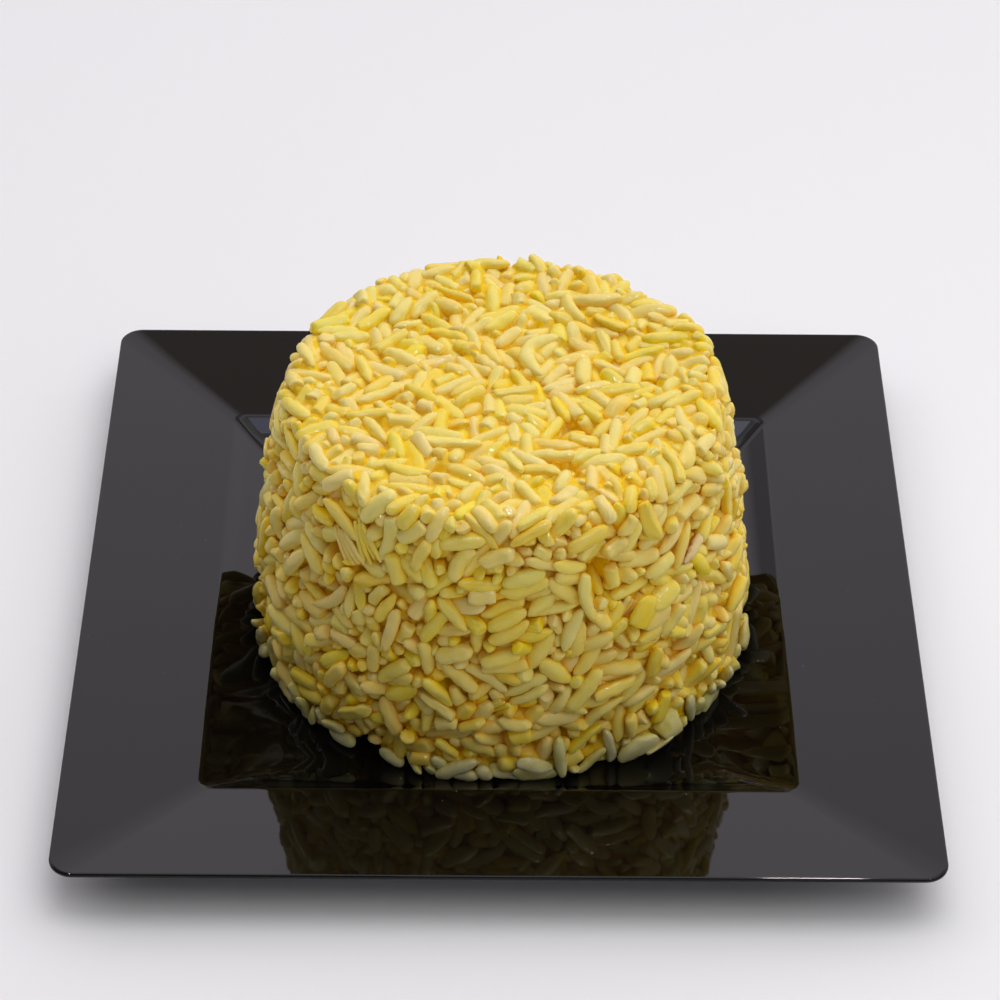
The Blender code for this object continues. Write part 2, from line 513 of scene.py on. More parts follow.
@dataclass(frozen=True)
class MattePaper:
    """White background paper, matte all over."""

    colour: str = "#f2f5f3"
    roughness: float = 0.9

    def material(self) -> bpy.types.Material:
        """Builds the floor's material.

        Returns:
            The material.
        """
        made, tree = new_material("matte_paper")
        matte = {"Base Color": linear(self.colour), "Roughness": self.roughness}
        shader = add_node(tree, "BsdfPrincipled", matte)
        add_node(tree, "OutputMaterial", links={"Surface": shader})
        return made


# -------------------------------------------------------------------- plate


@dataclass
class Plate:
    """The square plate: a thin shell with a sloping rim round a shallow well.

    Sizes are in millimetres, as half widths from the middle and heights over
    the table.
    """

    half: float = 82.5
    corner: float = 4.5
    lip_top: float = 9.9
    lip_thick: float = 1.0
    lip_round: float = 0.4
    lip_hold: float = 0.03
    rim_half: float = 56.5
    rim_top: float = 6.5
    rim_corner: float = 2.6
    rim_round: float = 2.2
    well_half: float = 48.7
    well_corner: float = 2.2
    well_round: float = 20.0  # the wall runs out softly into the floor
    floor: float = 1.4
    shell: float = 1.3
    hold: float = 0.15  # reach of the points that keep the flats next to an arc flat
    corner_steps: int = 20

    def floor_height(self, points: Array) -> Array:
        """Height of the plate's top surface under each point, inside the rim.

        Args:
            points: points in millimetres.

        Returns:
            One height for each point.
        """
        out = np.abs(points[:, :2]).max(axis=1)
        run, rise = self.rim_half - self.well_half, self.rim_top - self.floor
        slope = math.atan2(rise, run)
        start = self.well_half - self.well_round * math.tan(slope / 2)
        bend = np.clip(out - start, 0, self.well_round * math.sin(slope))
        arc = self.well_round - np.sqrt(self.well_round**2 - bend**2)
        line = np.clip((out - self.well_half) / run, 0, 1) * rise
        return self.floor + np.maximum(arc, line)

    def fillet(
        self, before: Span, corner: Span, after: Span, radius: float, steps: int, hold: float
    ) -> list[Span]:
        """Rounds one corner of the section.

        Args:
            before: the section's point before the corner.
            corner: the corner.
            after: the point after it.
            radius: radius of the rounding.
            steps: number of pieces in the arc.
            hold: distance beyond the arc's ends of the points on the flats.

        Returns:
            The points of the arc and of the two flats.
        """
        middle = Vector(corner)
        back = (Vector(before) - middle).normalized()
        ahead = (Vector(after) - middle).normalized()
        half = back.angle(ahead) / 2
        centre = middle + (back + ahead).normalized() * (radius / math.sin(half))
        reach = radius / math.tan(half)
        start = middle + back * reach - centre
        end = middle + ahead * reach - centre
        swing = math.pi - 2 * half
        arc = [tuple(middle + back * (reach + hold))]
        for step in range(steps + 1):
            share = step / steps
            near = math.sin((1 - share) * swing) / math.sin(swing)
            far = math.sin(share * swing) / math.sin(swing)
            arc.append(tuple(centre + start * near + end * far))
        arc.append(tuple(middle + ahead * (reach + hold)))
        return arc

    def section(self) -> list[Span]:
        """Half section of the shell, from the floor up over the lip and under.

        Returns:
            Half width and height of each ring.
        """
        middle, under_middle = (0, self.floor), (0, 0)
        lip, low_lip = (self.half, self.lip_top), (self.half, self.lip_top - self.lip_thick)
        edge, foot = (self.rim_half, self.rim_top), (self.well_half, self.floor)
        slope = (Vector(lip) - Vector(edge)).normalized()
        wall = (Vector(edge) - Vector(foot)).normalized()
        low_edge = self.below(edge, slope, wall)
        low_foot = (self.below(foot, wall, Vector((1, 0)))[0], 0.0)
        path = [middle, foot, edge, lip, low_lip, low_edge, low_foot, under_middle]
        arcs = [
            (self.well_round, 16, self.hold),
            (self.rim_round, 10, self.hold),
            (self.lip_round, 8, self.lip_hold),
            (self.lip_round, 6, self.lip_hold),
            (self.rim_round - self.shell, 4, self.hold),
            (self.well_round, 6, self.hold),
        ]
        rings = []
        for before, corner, after, arc in zip(path, path[1:], path[2:], arcs):
            rings += self.fillet(before, corner, after, *arc)
        return rings

    def below(self, corner: Span, first: Vector, second: Vector) -> Span:
        """Where the underside's two lines meet under a corner of the top.

        Args:
            corner: the corner on the top surface.
            first: direction of the line on one side.
            second: direction of the line on the other side.

        Returns:
            Half width and height of the corner under it.
        """
        down_first = Vector((first.y, -first.x))
        down_second = Vector((second.y, -second.x))
        middle = (down_first + down_second).normalized()
        return tuple(Vector(corner) + middle * (self.shell / middle.dot(down_first)))

    def plan_corner(self, half: float) -> float:
        """Plan radius of the square ring at this half width."""
        halves = [self.well_half, self.rim_half, self.half]
        return float(np.interp(half, halves, [self.well_corner, self.rim_corner, self.corner]))

    def ring(self, half: float, height: float) -> list[Triple]:
        """Points of one round-cornered square.

        Args:
            half: its half width.
            height: its height over the table.

        Returns:
            Its points, anticlockwise.
        """
        radius = self.plan_corner(half)
        middle = (half - radius) * math.sqrt(2)
        points = []
        for quarter in range(4):
            turn = math.radians(45 + 90 * quarter)
            for step in range(self.corner_steps + 1):
                angle = turn + math.radians(90) * (step / self.corner_steps - 0.5)
                x = middle * math.cos(turn) + radius * math.cos(angle)
                y = middle * math.sin(turn) + radius * math.sin(angle)
                points.append((x, y, height))
        return points

    def build(self) -> bpy.types.Object:
        """Models the shell and puts it in place of its CAD node.

        Returns:
            The plate.
        """
        rings = [self.ring(half, height) for half, height in self.section()]
        points = np.array(rings).reshape(-1, 3)
        middles = np.array([[0, 0, self.floor], [0, 0, 0.0]])
        piece = mesh_piece(
            "black_plate",
            np.concatenate([points, middles]),
            *tube_faces(len(rings), len(rings[0])),
            PolishedPolystyrene().material(),
        )
        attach(piece, "root")
        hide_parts("plate")
        return piece


# --------------------------------------------------------------- rice mound


@dataclass
class Mould:
    """The inside of the mould that shaped the rice: a bulged cone, upside down.

    Sizes are in millimetres. The profile runs up the side and over the top.
    """

    centre: Span
    bottom: float
    top: float
    foot_radius: float = 48.8
    top_radius: float = 42.8
    bulge: float = 2.2
    foot_round: float = 3.6
    foot_tuck: float = 0.3  # how far the foot draws in, as a share of its rounding
    shoulder: float = 3.2
    side_steps: int = 14
    shoulder_steps: int = 4
    top_crowd: float = 1.2  # more grains on the flat top, as nothing pushes it together
    middle_crowd: float = 0.57  # a little over a half also packs its middle closer
    profile: Array = field(init=False)

    def __post_init__(self) -> None:
        """Works out the profile from the sizes."""
        rows = []
        rise = self.top - self.shoulder - self.bottom
        for step in range(self.side_steps + 1):
            share = step / self.side_steps
            radius = self.foot_radius + (self.top_radius - self.foot_radius) * share
            radius += self.bulge * 4 * share * (1 - share)
            above = rise * share / self.foot_round
            if above < 1:
                radius -= self.foot_tuck * self.foot_round * (1 - math.sqrt(1 - (1 - above) ** 2))
            rows.append((radius, self.bottom + rise * share))
        inner = self.top_radius - self.shoulder
        for step in range(1, self.shoulder_steps + 1):
            turn = math.radians(90) * step / self.shoulder_steps
            height = self.top - self.shoulder + self.shoulder * math.sin(turn)
            rows.append((inner + self.shoulder * math.cos(turn), height))
        rows.append((0.0, self.top))
        self.profile = np.array(rows)

    def outward(self, along: Array, angle: Array) -> Array:
        """Outward directions of the surface.

        Args:
            along: direction of the profile at each point, as radius and height.
            angle: angle of each point round the mould.

        Returns:
            One direction for each point.
        """
        level, up = unit(np.stack([along[:, 1], -along[:, 0]], axis=1)).T
        return np.stack([level * np.cos(angle), level * np.sin(angle), up], axis=1)

    def around(self, radius: Array, angle: Array, height: Array) -> Array:
        """Points round the mould's axis.

        Args:
            radius: distance of each point from the axis.
            angle: its angle round the axis.
            height: its height.

        Returns:
            The points.
        """
        x, y = self.centre
        ring = x + radius * np.cos(angle), y + radius * np.sin(angle), height
        return np.stack(np.broadcast_arrays(*ring), axis=-1)

    def spread(self, shares: Array, angle: Array) -> tuple[Array, Array]:
        """Points spread evenly by area over the surface.

        Args:
            shares: how far up and over the surface each point lies, 0 to 1.
            angle: its angle round the mould.

        Returns:
            The points and the outward direction at each.
        """
        step = np.diff(self.profile, axis=0)
        area = np.linalg.norm(step, axis=1) * (self.profile[:-1, 0] + self.profile[1:, 0])
        area[-1] *= self.top_crowd
        reached = np.concatenate([[0], np.cumsum(area)]) / area.sum()
        k = np.clip(np.searchsorted(reached, shares) - 1, 0, len(step) - 1)
        part = (shares - reached[k]) / (reached[k + 1] - reached[k])
        # On the flat top the radius shrinks with the area left.
        left = np.clip(1 - part, 0, 1) ** self.middle_crowd
        part = np.where(k == len(step) - 1, 1 - left, part)
        row = self.profile[k] + step[k] * part[:, None]
        return self.around(row[:, 0], angle, row[:, 1]), self.outward(step[k], angle)

    def locate(self, points: Array) -> tuple[Array, Array, Array]:
        """Where points lie on and under the surface.

        Args:
            points: points in millimetres.

        Returns:
            Length up the profile to the nearest point of the surface, depth
            under it (negative outside) and the outward direction there.
        """
        x, y = points[:, 0] - self.centre[0], points[:, 1] - self.centre[1]
        radius = np.hypot(x, y)
        start, step = self.profile[:-1], np.diff(self.profile, axis=0)
        offset = np.stack([radius, points[:, 2]], axis=1)[:, None] - start
        share = np.clip((offset * step).sum(2) / (step * step).sum(1), 0, 1)
        gap = offset - share[..., None] * step
        nearest = (gap * gap).sum(2).argmin(1)
        rows = np.arange(len(points))
        gap = gap[rows, nearest]
        distance = np.hypot(gap[:, 0], gap[:, 1])
        across = unit(np.stack([step[:, 1], -step[:, 0]], axis=1))[nearest]
        inside = (gap * across).sum(1) < 0
        way = np.where(inside[:, None], -1, 1) * gap / np.maximum(distance, TINY)[:, None]
        way = np.where((distance < 1e-6)[:, None], across, way)
        level = np.stack([x, y], axis=1) / np.maximum(radius, TINY)[:, None]
        out = np.concatenate([level * way[:, :1], way[:, 1:]], axis=1)
        length = np.linalg.norm(step, axis=1)
        arc = (np.cumsum(length) - length)[nearest] + share[rows, nearest] * length[nearest]
        return arc, np.where(inside, distance, -distance), out

    def depth(self, points: Array) -> tuple[Array, Array]:
        """Depth of points under the surface and the outward direction there."""
        return self.locate(points)[1:]


def close_pairs(points: Array, reach: float) -> tuple[Array, Array]:
    """Finds every pair of points nearer to each other than a distance.

    Args:
        points: the points.
        reach: the distance.

    Returns:
        Numbers of the first and of the second point of each pair.
    """
    cell = np.floor((points - points.min(0) + reach) / reach).astype(np.int64)
    size = cell.max(0) + 2
    key = (cell[:, 0] * size[1] + cell[:, 1]) * size[2] + cell[:, 2]
    order = np.argsort(key, kind="stable")
    sorted_key = key[order]
    numbers = np.arange(len(points))
    firsts, seconds = [], []
    span = (-1, 0, 1)
    steps = [(i, j, k) for i in span for j in span for k in span if (i, j, k) >= (0, 0, 0)]
    for step in steps:
        wanted = key + (step[0] * size[1] + step[1]) * size[2] + step[2]
        start = np.searchsorted(sorted_key, wanted, "left")
        count = np.searchsorted(sorted_key, wanted, "right") - start
        first = np.repeat(numbers, count)
        skipped = np.repeat(start - (np.cumsum(count) - count), count)
        second = order[np.arange(len(first)) + skipped]
        apart = points[first] - points[second]
        keep = (apart * apart).sum(1) < reach * reach
        if step == (0, 0, 0):
            keep &= first < second
        firsts.append(first[keep])
        seconds.append(second[keep])
    return np.concatenate(firsts), np.concatenate(seconds)


class GrainKind(Enum):
    """The kinds of grain that the heap shows."""

    LONG = "long"
    CURVED = "curved"
    PLUMP = "plump"
    POINTED = "pointed"
    BARREL = "barrel"
    BROKEN = "broken"
    CHIP = "chip"
    SPLIT = "split"
    SLIVER = "sliver"
    MASHED = "mashed"
    SOAKED = "soaked"
    SMEARED = "smeared"
    HUSKY = "husky"
    BURIED = "buried"


@dataclass(frozen=True)
class SetGrain:
    """A grain that catches the eye and so lies where the real heap has it.

    Attributes:
        kind: its kind.
        place: a point near it, moved on to the heap's surface.
        ahead: the way it points, laid flat on the surface.
        length: its length.
        bow: how far its middle stands off, as a share of its half length.
        radius: its radius.
        sunk: depth of its middle line under the surface.
    """

    kind: GrainKind
    place: Triple
    ahead: Triple
    length: float = 8.5
    bow: float = 0.08
    radius: float = 1.4
    sunk: float = 1.2


@dataclass
class GrainPacking:
    """Grains pressed together inside the mould, over the core.

    Each grain is a short chain of balls that keeps its own slight bend. The
    balls grow from half size while they push each other apart, stay inside
    the mould and on the plate, and so settle as pressed rice does. Sizes are
    in millimetres.
    """

    mould: Mould
    plate: Plate
    hollows: tuple[Four, ...]  # middle and radius
    set_grains: tuple[SetGrain, ...]
    count: int = 3620
    strays: int = 70  # loose grains round the foot
    balls: int = 5
    shell: float = 7.4  # thickness of the layer of grains
    skin: float = 1.4  # least depth at which a grain starts
    length: Span = (8.5, 1.15)  # mean and spread
    length_within: Span = (5.8, 11.2)
    broken_length: Span = (4.0, 7.8)
    broken_share: float = 0.23
    broken_strays: float = 0.6
    radius: Span = (1.5, 0.12)  # mean and spread
    radius_within: Span = (1.2, 1.78)
    end_fall: float = 0.16  # how much smaller the end balls are
    end_power: float = 2.5  # how late they get smaller
    bend: Span = (0.05, 0.5)  # usual and greatest bow, as a share of half the length
    tilt_deg: float = 28.0
    end_on_share: float = 0.11
    top_calm: float = 0.5  # on the flat top grains lie this much more evenly
    top_from: float = 0.7  # upward part of the outward direction there
    squash: Span = (0.68, 0.96)  # touching distance over sum of radii
    clump: float = 11.0  # distance over which the squash changes
    clump_count: int = 6  # waves that add up to that change
    clump_phase: float = 9.0  # sets them off from each other
    clump_sum: float = 2.4  # what scales their sum to about 1
    proud: Span = (0.0, 0.66)  # mean and spread of a grain's reach past the mould
    proud_within: Span = (-2.0, 1.3)
    stray_up: float = 0.04  # share of the side, from the foot, where strays lie
    stray_out: float = 1.2
    stray_proud: Span = (0.6, 2.2)
    poking_share: float = 0.55  # strays that point outwards
    poking_slant: float = 0.5  # how far they turn sideways and down
    set_proud: Span = (0.6, 0.9)  # least reach of set grains, and of one not sunk
    loose_hollows: int = 34
    hollow_up: Span = (0.06, 0.72)  # share of the surface, from the foot, that has them
    hollow_deep: Span = (0.2, 1.8)
    hollow_radius: Span = (0.6, 1.5)
    squash_sway: Span = (0.35, 0.15)  # change of the squash from place to place, and by chance
    overshoot: float = 1.3  # how far past touching a ball is pushed
    crowding: float = 0.6  # how much less far for each ball that it meets
    core_meets: Span = (0.5, 0.4)  # room under the layer, and its overlap in radii
    core_push: float = 0.5  # share of what is too deep that a round pushes back
    hollow_meets: float = 0.9  # share of a ball's radius that stays out of a hollow
    stiffness: float = 0.75  # how much of its shape a grain regains in a round
    first_size: float = 0.55  # of the balls, as a share of their full size
    growth: Span = (0.5, 0.6)  # what they gain, over what share of the rounds
    pair_reach: Span = (3.3, 0.5)  # two full radii, and the way they move meanwhile
    rounds: int = 150
    pair_rounds: int = 6  # rounds between two searches for near balls
    seed: int = 3
    rng: np.random.Generator = field(init=False)
    chains: Array = field(init=False)  # the balls of each grain
    radii: Array = field(init=False)  # their radii
    along: Array = field(init=False)  # their places along the grain
    across: Array = field(init=False)  # and across it, on the side it bows to
    allowed: Array = field(init=False)  # reach of each grain past the mould
    give: Array = field(init=False)  # touching distance of each ball over the sum of radii
    stray: Array = field(init=False)  # whether each grain is a stray
    broken: Array = field(init=False)  # whether it is broken
    pits: Array = field(init=False)  # middle and radius of every hollow
    clump_waves: Array = field(init=False)

    @property
    def stations(self) -> tuple[Array, Array]:
        """Places of a grain's balls, -1 to 1, and the course of its bow there."""
        s = np.linspace(-1, 1, self.balls)
        return s, s**2 - (s**2).mean()

    def scatter(self) -> None:
        """Lays the grains out at random, before anything pushes."""
        self.rng = rng = np.random.default_rng(self.seed)
        count = self.count + self.strays
        shares = (0.5 + np.outer(np.arange(count), EVEN_STEP ** -np.arange(1.0, 4.0))) % 1
        self.stray = stray = np.arange(count) >= self.count
        shares[stray, 0] = rng.uniform(0.0, self.stray_up, self.strays)
        shares[stray, 2] = 0.0
        on_mould, out = self.mould.spread(shares[:, 0], shares[:, 1] * 2 * np.pi)
        middle = on_mould - out * (self.skin + (self.shell - self.skin) * shares[:, 2])[:, None]
        middle[stray] = (on_mould + out * self.stray_out)[stray]
        calm = np.where(out[:, 2] > self.top_from, self.top_calm, 1.0)
        axis = self.directions(out, calm)
        self.draw_shapes()
        side = unit(np.cross(axis, rng.normal(size=(count, 3))))
        allowed = np.clip(rng.normal(*self.proud, count) * calm, *self.proud_within)
        self.allowed = np.where(stray, rng.uniform(*self.stray_proud, count), allowed)
        s, bow = self.stations
        for i, grain in enumerate(self.set_grains):
            middle[i], axis[i], side[i] = self.set_down(grain)
            self.radii[i] *= grain.radius / self.radii[i].max()
            half = grain.length / 2 - self.radii[i, 0]
            self.along[i] = half * s
            self.across[i] = grain.bow * half * bow
            self.allowed[i] = max(self.set_proud[0], self.set_proud[1] - grain.sunk)
        self.chains = self.laid(middle, axis, side)
        waves = unit(rng.normal(size=(self.clump_count, 3)))
        self.clump_waves = waves * 2 * np.pi / self.clump
        self.dig_hollows()

    def directions(self, out: Array, calm: Array) -> Array:
        """Ways the grains point: most along the surface, and some end on.

        Args:
            out: outward direction at each grain.
            calm: how much of the usual tilt it has.

        Returns:
            One direction for each grain.
        """
        rng, count = self.rng, len(out)
        lie = rng.normal(size=(count, 3))
        lie = unit(lie - out * (lie * out).sum(1)[:, None])
        tilt = rng.normal(0, math.radians(self.tilt_deg), count) * calm
        end_on = rng.random(count) < self.end_on_share * calm
        tilt = np.where(end_on, rng.uniform(-np.pi / 2, np.pi / 2, count), tilt)
        axis = lie * np.cos(tilt)[:, None] + out * np.sin(tilt)[:, None]
        poking = self.stray & (rng.random(count) < self.poking_share)
        slope = unit(out + self.poking_slant * lie + np.array([0, 0, -self.poking_slant]))
        return np.where(poking[:, None], slope, axis)

    def draw_shapes(self) -> None:
        """Gives every grain its own length, thickness and bend."""
        rng, count = self.rng, len(self.stray)
        length = np.clip(rng.normal(*self.length, count), *self.length_within)
        breaks = np.where(self.stray, self.broken_strays, self.broken_share)
        self.broken = rng.random(count) < breaks
        length = np.where(self.broken, rng.uniform(*self.broken_length, count), length)
        thick = np.clip(rng.normal(*self.radius, count), *self.radius_within)
        s, bow = self.stations
        self.radii = thick[:, None] * (1 - self.end_fall * np.abs(s) ** self.end_power)
        reach = (length - 2 * self.radii[:, 0]) / 2
        usual, most = self.bend
        sag = np.abs(usual * rng.standard_t(3, count)).clip(0, most) * reach
        self.along = reach[:, None] * s
        self.across = sag[:, None] * bow

    def set_down(self, grain: SetGrain) -> tuple[Array, Array, Array]:
        """Moves a set grain on to the heap's surface.

        Args:
            grain: the grain.

        Returns:
            Its middle, the way it points and the way it bows.
        """
        point = np.array([grain.place])
        _, depth, way = self.mould.locate(point)
        axis = unit(np.array(grain.ahead) - way[0] * (way[0] @ grain.ahead))
        return point[0] + way[0] * (depth[0] - grain.sunk), axis, np.cross(axis, way[0])

    def dig_hollows(self) -> None:
        """Adds small hollows all over to the ones that are set."""
        up, turn = (
            self.rng.uniform(low, high, self.loose_hollows)
            for low, high in (self.hollow_up, (0, 2 * np.pi))
        )
        pits, way = self.mould.spread(up, turn)
        pits = pits - way * self.rng.uniform(*self.hollow_deep, (self.loose_hollows, 1))
        sizes = self.rng.uniform(*self.hollow_radius, (self.loose_hollows, 1))
        named = np.array(self.hollows).reshape(-1, 4)
        self.pits = np.concatenate([named, np.concatenate([pits, sizes], axis=1)])

    def laid(self, middle: Array, axis: Array, side: Array) -> Array:
        """Chains of balls with each grain's own length and bend.

        Args:
            middle: middle of each grain.
            axis: the way it points.
            side: the way it bows.

        Returns:
            The balls of each grain.
        """
        return (
            middle[:, None]
            + axis[:, None] * self.along[..., None]
            + side[:, None] * self.across[..., None]
        )

    def push_apart(self, balls: Array, radii: Array, pairs: tuple[Array, Array]) -> Array:
        """Moves overlapping balls of different grains apart.

        Args:
            balls: centre of every ball.
            radii: its radius at this stage.
            pairs: numbers of the balls that are near each other.

        Returns:
            The new centres.
        """
        first, second = pairs
        apart = balls[first] - balls[second]
        distance = np.sqrt((apart * apart).sum(1)) + TINY
        overlap = self.give[first] * (radii[first] + radii[second]) - distance
        hit = overlap > 0
        first, second = first[hit], second[hit]
        push = apart[hit] * (0.5 * overlap[hit] / distance[hit])[:, None]
        total = len(balls)
        met = np.bincount(first, minlength=total) + np.bincount(second, minlength=total)
        move = np.stack(
            [np.bincount(first, p, total) - np.bincount(second, p, total) for p in push.T],
            axis=1,
        )
        return balls + self.overshoot * move / np.maximum(1, self.crowding * met)[:, None]

    def hold_in(self, balls: Array, radii: Array, allowed: Array) -> Array:
        """Keeps balls inside the mould, off the core and on the plate.

        Args:
            balls: centre of every ball.
            radii: its radius at this stage.
            allowed: how far past the mould it may stand.

        Returns:
            The new centres.
        """
        depth, out = self.mould.depth(balls)
        proud = np.clip(radii - allowed - depth, 0, None)
        room, overlap = self.core_meets
        sunk = np.clip(depth - (self.shell + room - overlap * radii), 0, None)
        balls = balls + out * (self.core_push * sunk - proud)[:, None]
        for pit in self.pits:
            away = balls - pit[:3]
            gap = np.sqrt((away * away).sum(1)) + TINY
            push = np.clip(pit[3] + self.hollow_meets * radii - gap, 0, None)
            balls = balls + away * (push / gap)[:, None]
        lift = self.plate.floor_height(balls) + radii - balls[:, 2]
        balls[:, 2] += np.clip(lift, 0, None)
        return balls

    def keep_shape(self, chains: Array) -> Array:
        """Pulls each chain back towards its own length and bend.

        Args:
            chains: the balls of each grain.

        Returns:
            The new centres.
        """
        s, bow = self.stations
        axis = unit((chains * (s / (s * s).sum())[:, None]).sum(1))
        side = (chains * (bow / (bow * bow).sum())[:, None]).sum(1)
        side = unit(side - axis * (side * axis).sum(1)[:, None])
        return chains + self.stiffness * (self.laid(chains.mean(1), axis, side) - chains)

    def press(self) -> None:
        """Runs the packing from loose to pressed."""
        owner = np.repeat(np.arange(len(self.chains)), self.balls)
        allowed = np.repeat(self.allowed, self.balls)
        pairs: tuple[Array, Array] = (np.empty(0, int), np.empty(0, int))
        place = self.chains.mean(1)
        waves = sum(np.sin(place @ way + self.clump_phase * way[0]) for way in self.clump_waves)
        wave = waves / self.clump_sum
        sway, chance = self.squash_sway
        share = np.clip(0.5 + sway * wave + self.rng.normal(0, chance, len(place)), 0, 1)
        give = self.squash[0] + (self.squash[1] - self.squash[0]) * share
        self.give = np.repeat(give, self.balls)
        for turn in range(self.rounds):
            gain, part = self.growth
            grown = min(1.0, self.first_size + gain * turn / (part * self.rounds))
            radii = (self.radii * grown).ravel()
            balls = self.chains.reshape(-1, 3)
            if turn % self.pair_rounds == 0:
                first, second = close_pairs(balls, self.pair_reach[0] * grown + self.pair_reach[1])
                other = owner[first] != owner[second]
                pairs = first[other], second[other]
            balls = self.push_apart(balls, radii, pairs)
            balls = self.hold_in(balls, radii, allowed)
            # Rounding keeps the result the same on machines that add differently.
            self.chains = np.round(self.keep_shape(balls.reshape(self.chains.shape)), 4)


@dataclass(frozen=True)
class GrainForm:
    """How one kind of grain is drawn.

    Attributes:
        rings: rings along the grain, between its two end points.
        sides: points round each ring.
        taper: lowest and highest power of the girth's fall towards each end;
            2 is an ellipse, higher is fuller.
        point: power that sharpens the very end; 0.5 is round, 0.8 pointed.
        width: lowest and highest width as a share of the ball's.
        flatness: thickness as a share of the width.
        facets: number of flats pressed along the grain.
        dents: number of dents that its neighbours left.
        cut: chance that an end is cut off.
        cut_depth: least and most that a cut takes off, in radii.
        cut_deg: most that a cut slants.
        groove: depth of the lengthwise cracks as a share of the radius.
        cracks: number of lengthwise cracks.
        white: how white the ends may be, 0 to 1.
    """

    rings: int = 14
    sides: int = 12
    taper: Span = (1.9, 4.2)
    point: Span = (0.44, 0.6)
    width: Span = (0.98, 1.12)
    flatness: Span = (0.78, 0.94)
    facets: int = 2
    dents: int = 4
    cut: float = 0.12
    cut_depth: Span = (0.25, 0.8)
    cut_deg: float = 32.0
    groove: float = 0.0
    cracks: int = 0
    white: float = 0.5


FORMS: dict[GrainKind, GrainForm] = {
    GrainKind.LONG: GrainForm(),
    GrainKind.CURVED: GrainForm(taper=(2.3, 4.6)),
    GrainKind.PLUMP: GrainForm(
        taper=(2.2, 4.0), width=(1.08, 1.24), flatness=(0.72, 0.88), cut=0.15
    ),
    GrainKind.POINTED: GrainForm(
        taper=(1.9, 2.6), point=(0.5, 0.64), width=(1.04, 1.18), cut=0.1, white=0.3
    ),
    GrainKind.BARREL: GrainForm(
        taper=(4.5, 8.0), cut=0.8, cut_depth=(0.2, 0.6), cut_deg=26.0, facets=3
    ),
    GrainKind.BROKEN: GrainForm(
        taper=(3.4, 6.0), cut=0.85, cut_depth=(0.3, 0.9), cut_deg=34.0, white=0.6
    ),
    GrainKind.CHIP: GrainForm(
        rings=10, taper=(3.0, 5.0), facets=3, cut=0.7, cut_depth=(0.2, 0.6), cut_deg=40.0, white=0.2
    ),
    GrainKind.SPLIT: GrainForm(
        sides=18,
        taper=(3.0, 5.0),
        width=(1.04, 1.16),
        facets=1,
        cut=0.9,
        cut_depth=(0.2, 0.7),
        cut_deg=30.0,
        groove=0.3,
        cracks=3,
    ),
    GrainKind.SLIVER: GrainForm(
        rings=12, sides=8, taper=(3.0, 5.0), facets=1, cut=0.8, cut_depth=(0.2, 0.8)
    ),
    GrainKind.MASHED: GrainForm(
        sides=16,
        taper=(2.2, 3.6),
        width=(1.5, 2.1),
        flatness=(0.42, 0.55),
        facets=3,
        dents=6,
        cut=0.5,
        white=0.3,
    ),
    GrainKind.SOAKED: GrainForm(flatness=(0.62, 0.85), cut=0.3, white=0.2),
    GrainKind.SMEARED: GrainForm(
        sides=16,
        taper=(2.0, 3.4),
        width=(1.5, 2.2),
        flatness=(0.3, 0.42),
        facets=1,
        dents=6,
        cut=0.4,
        white=0.0,
    ),
    GrainKind.HUSKY: GrainForm(sides=18, cut=0.2, groove=0.12, cracks=4, white=1.0),
    GrainKind.BURIED: GrainForm(rings=8, sides=8, facets=0, dents=0, cut=0.0),
}


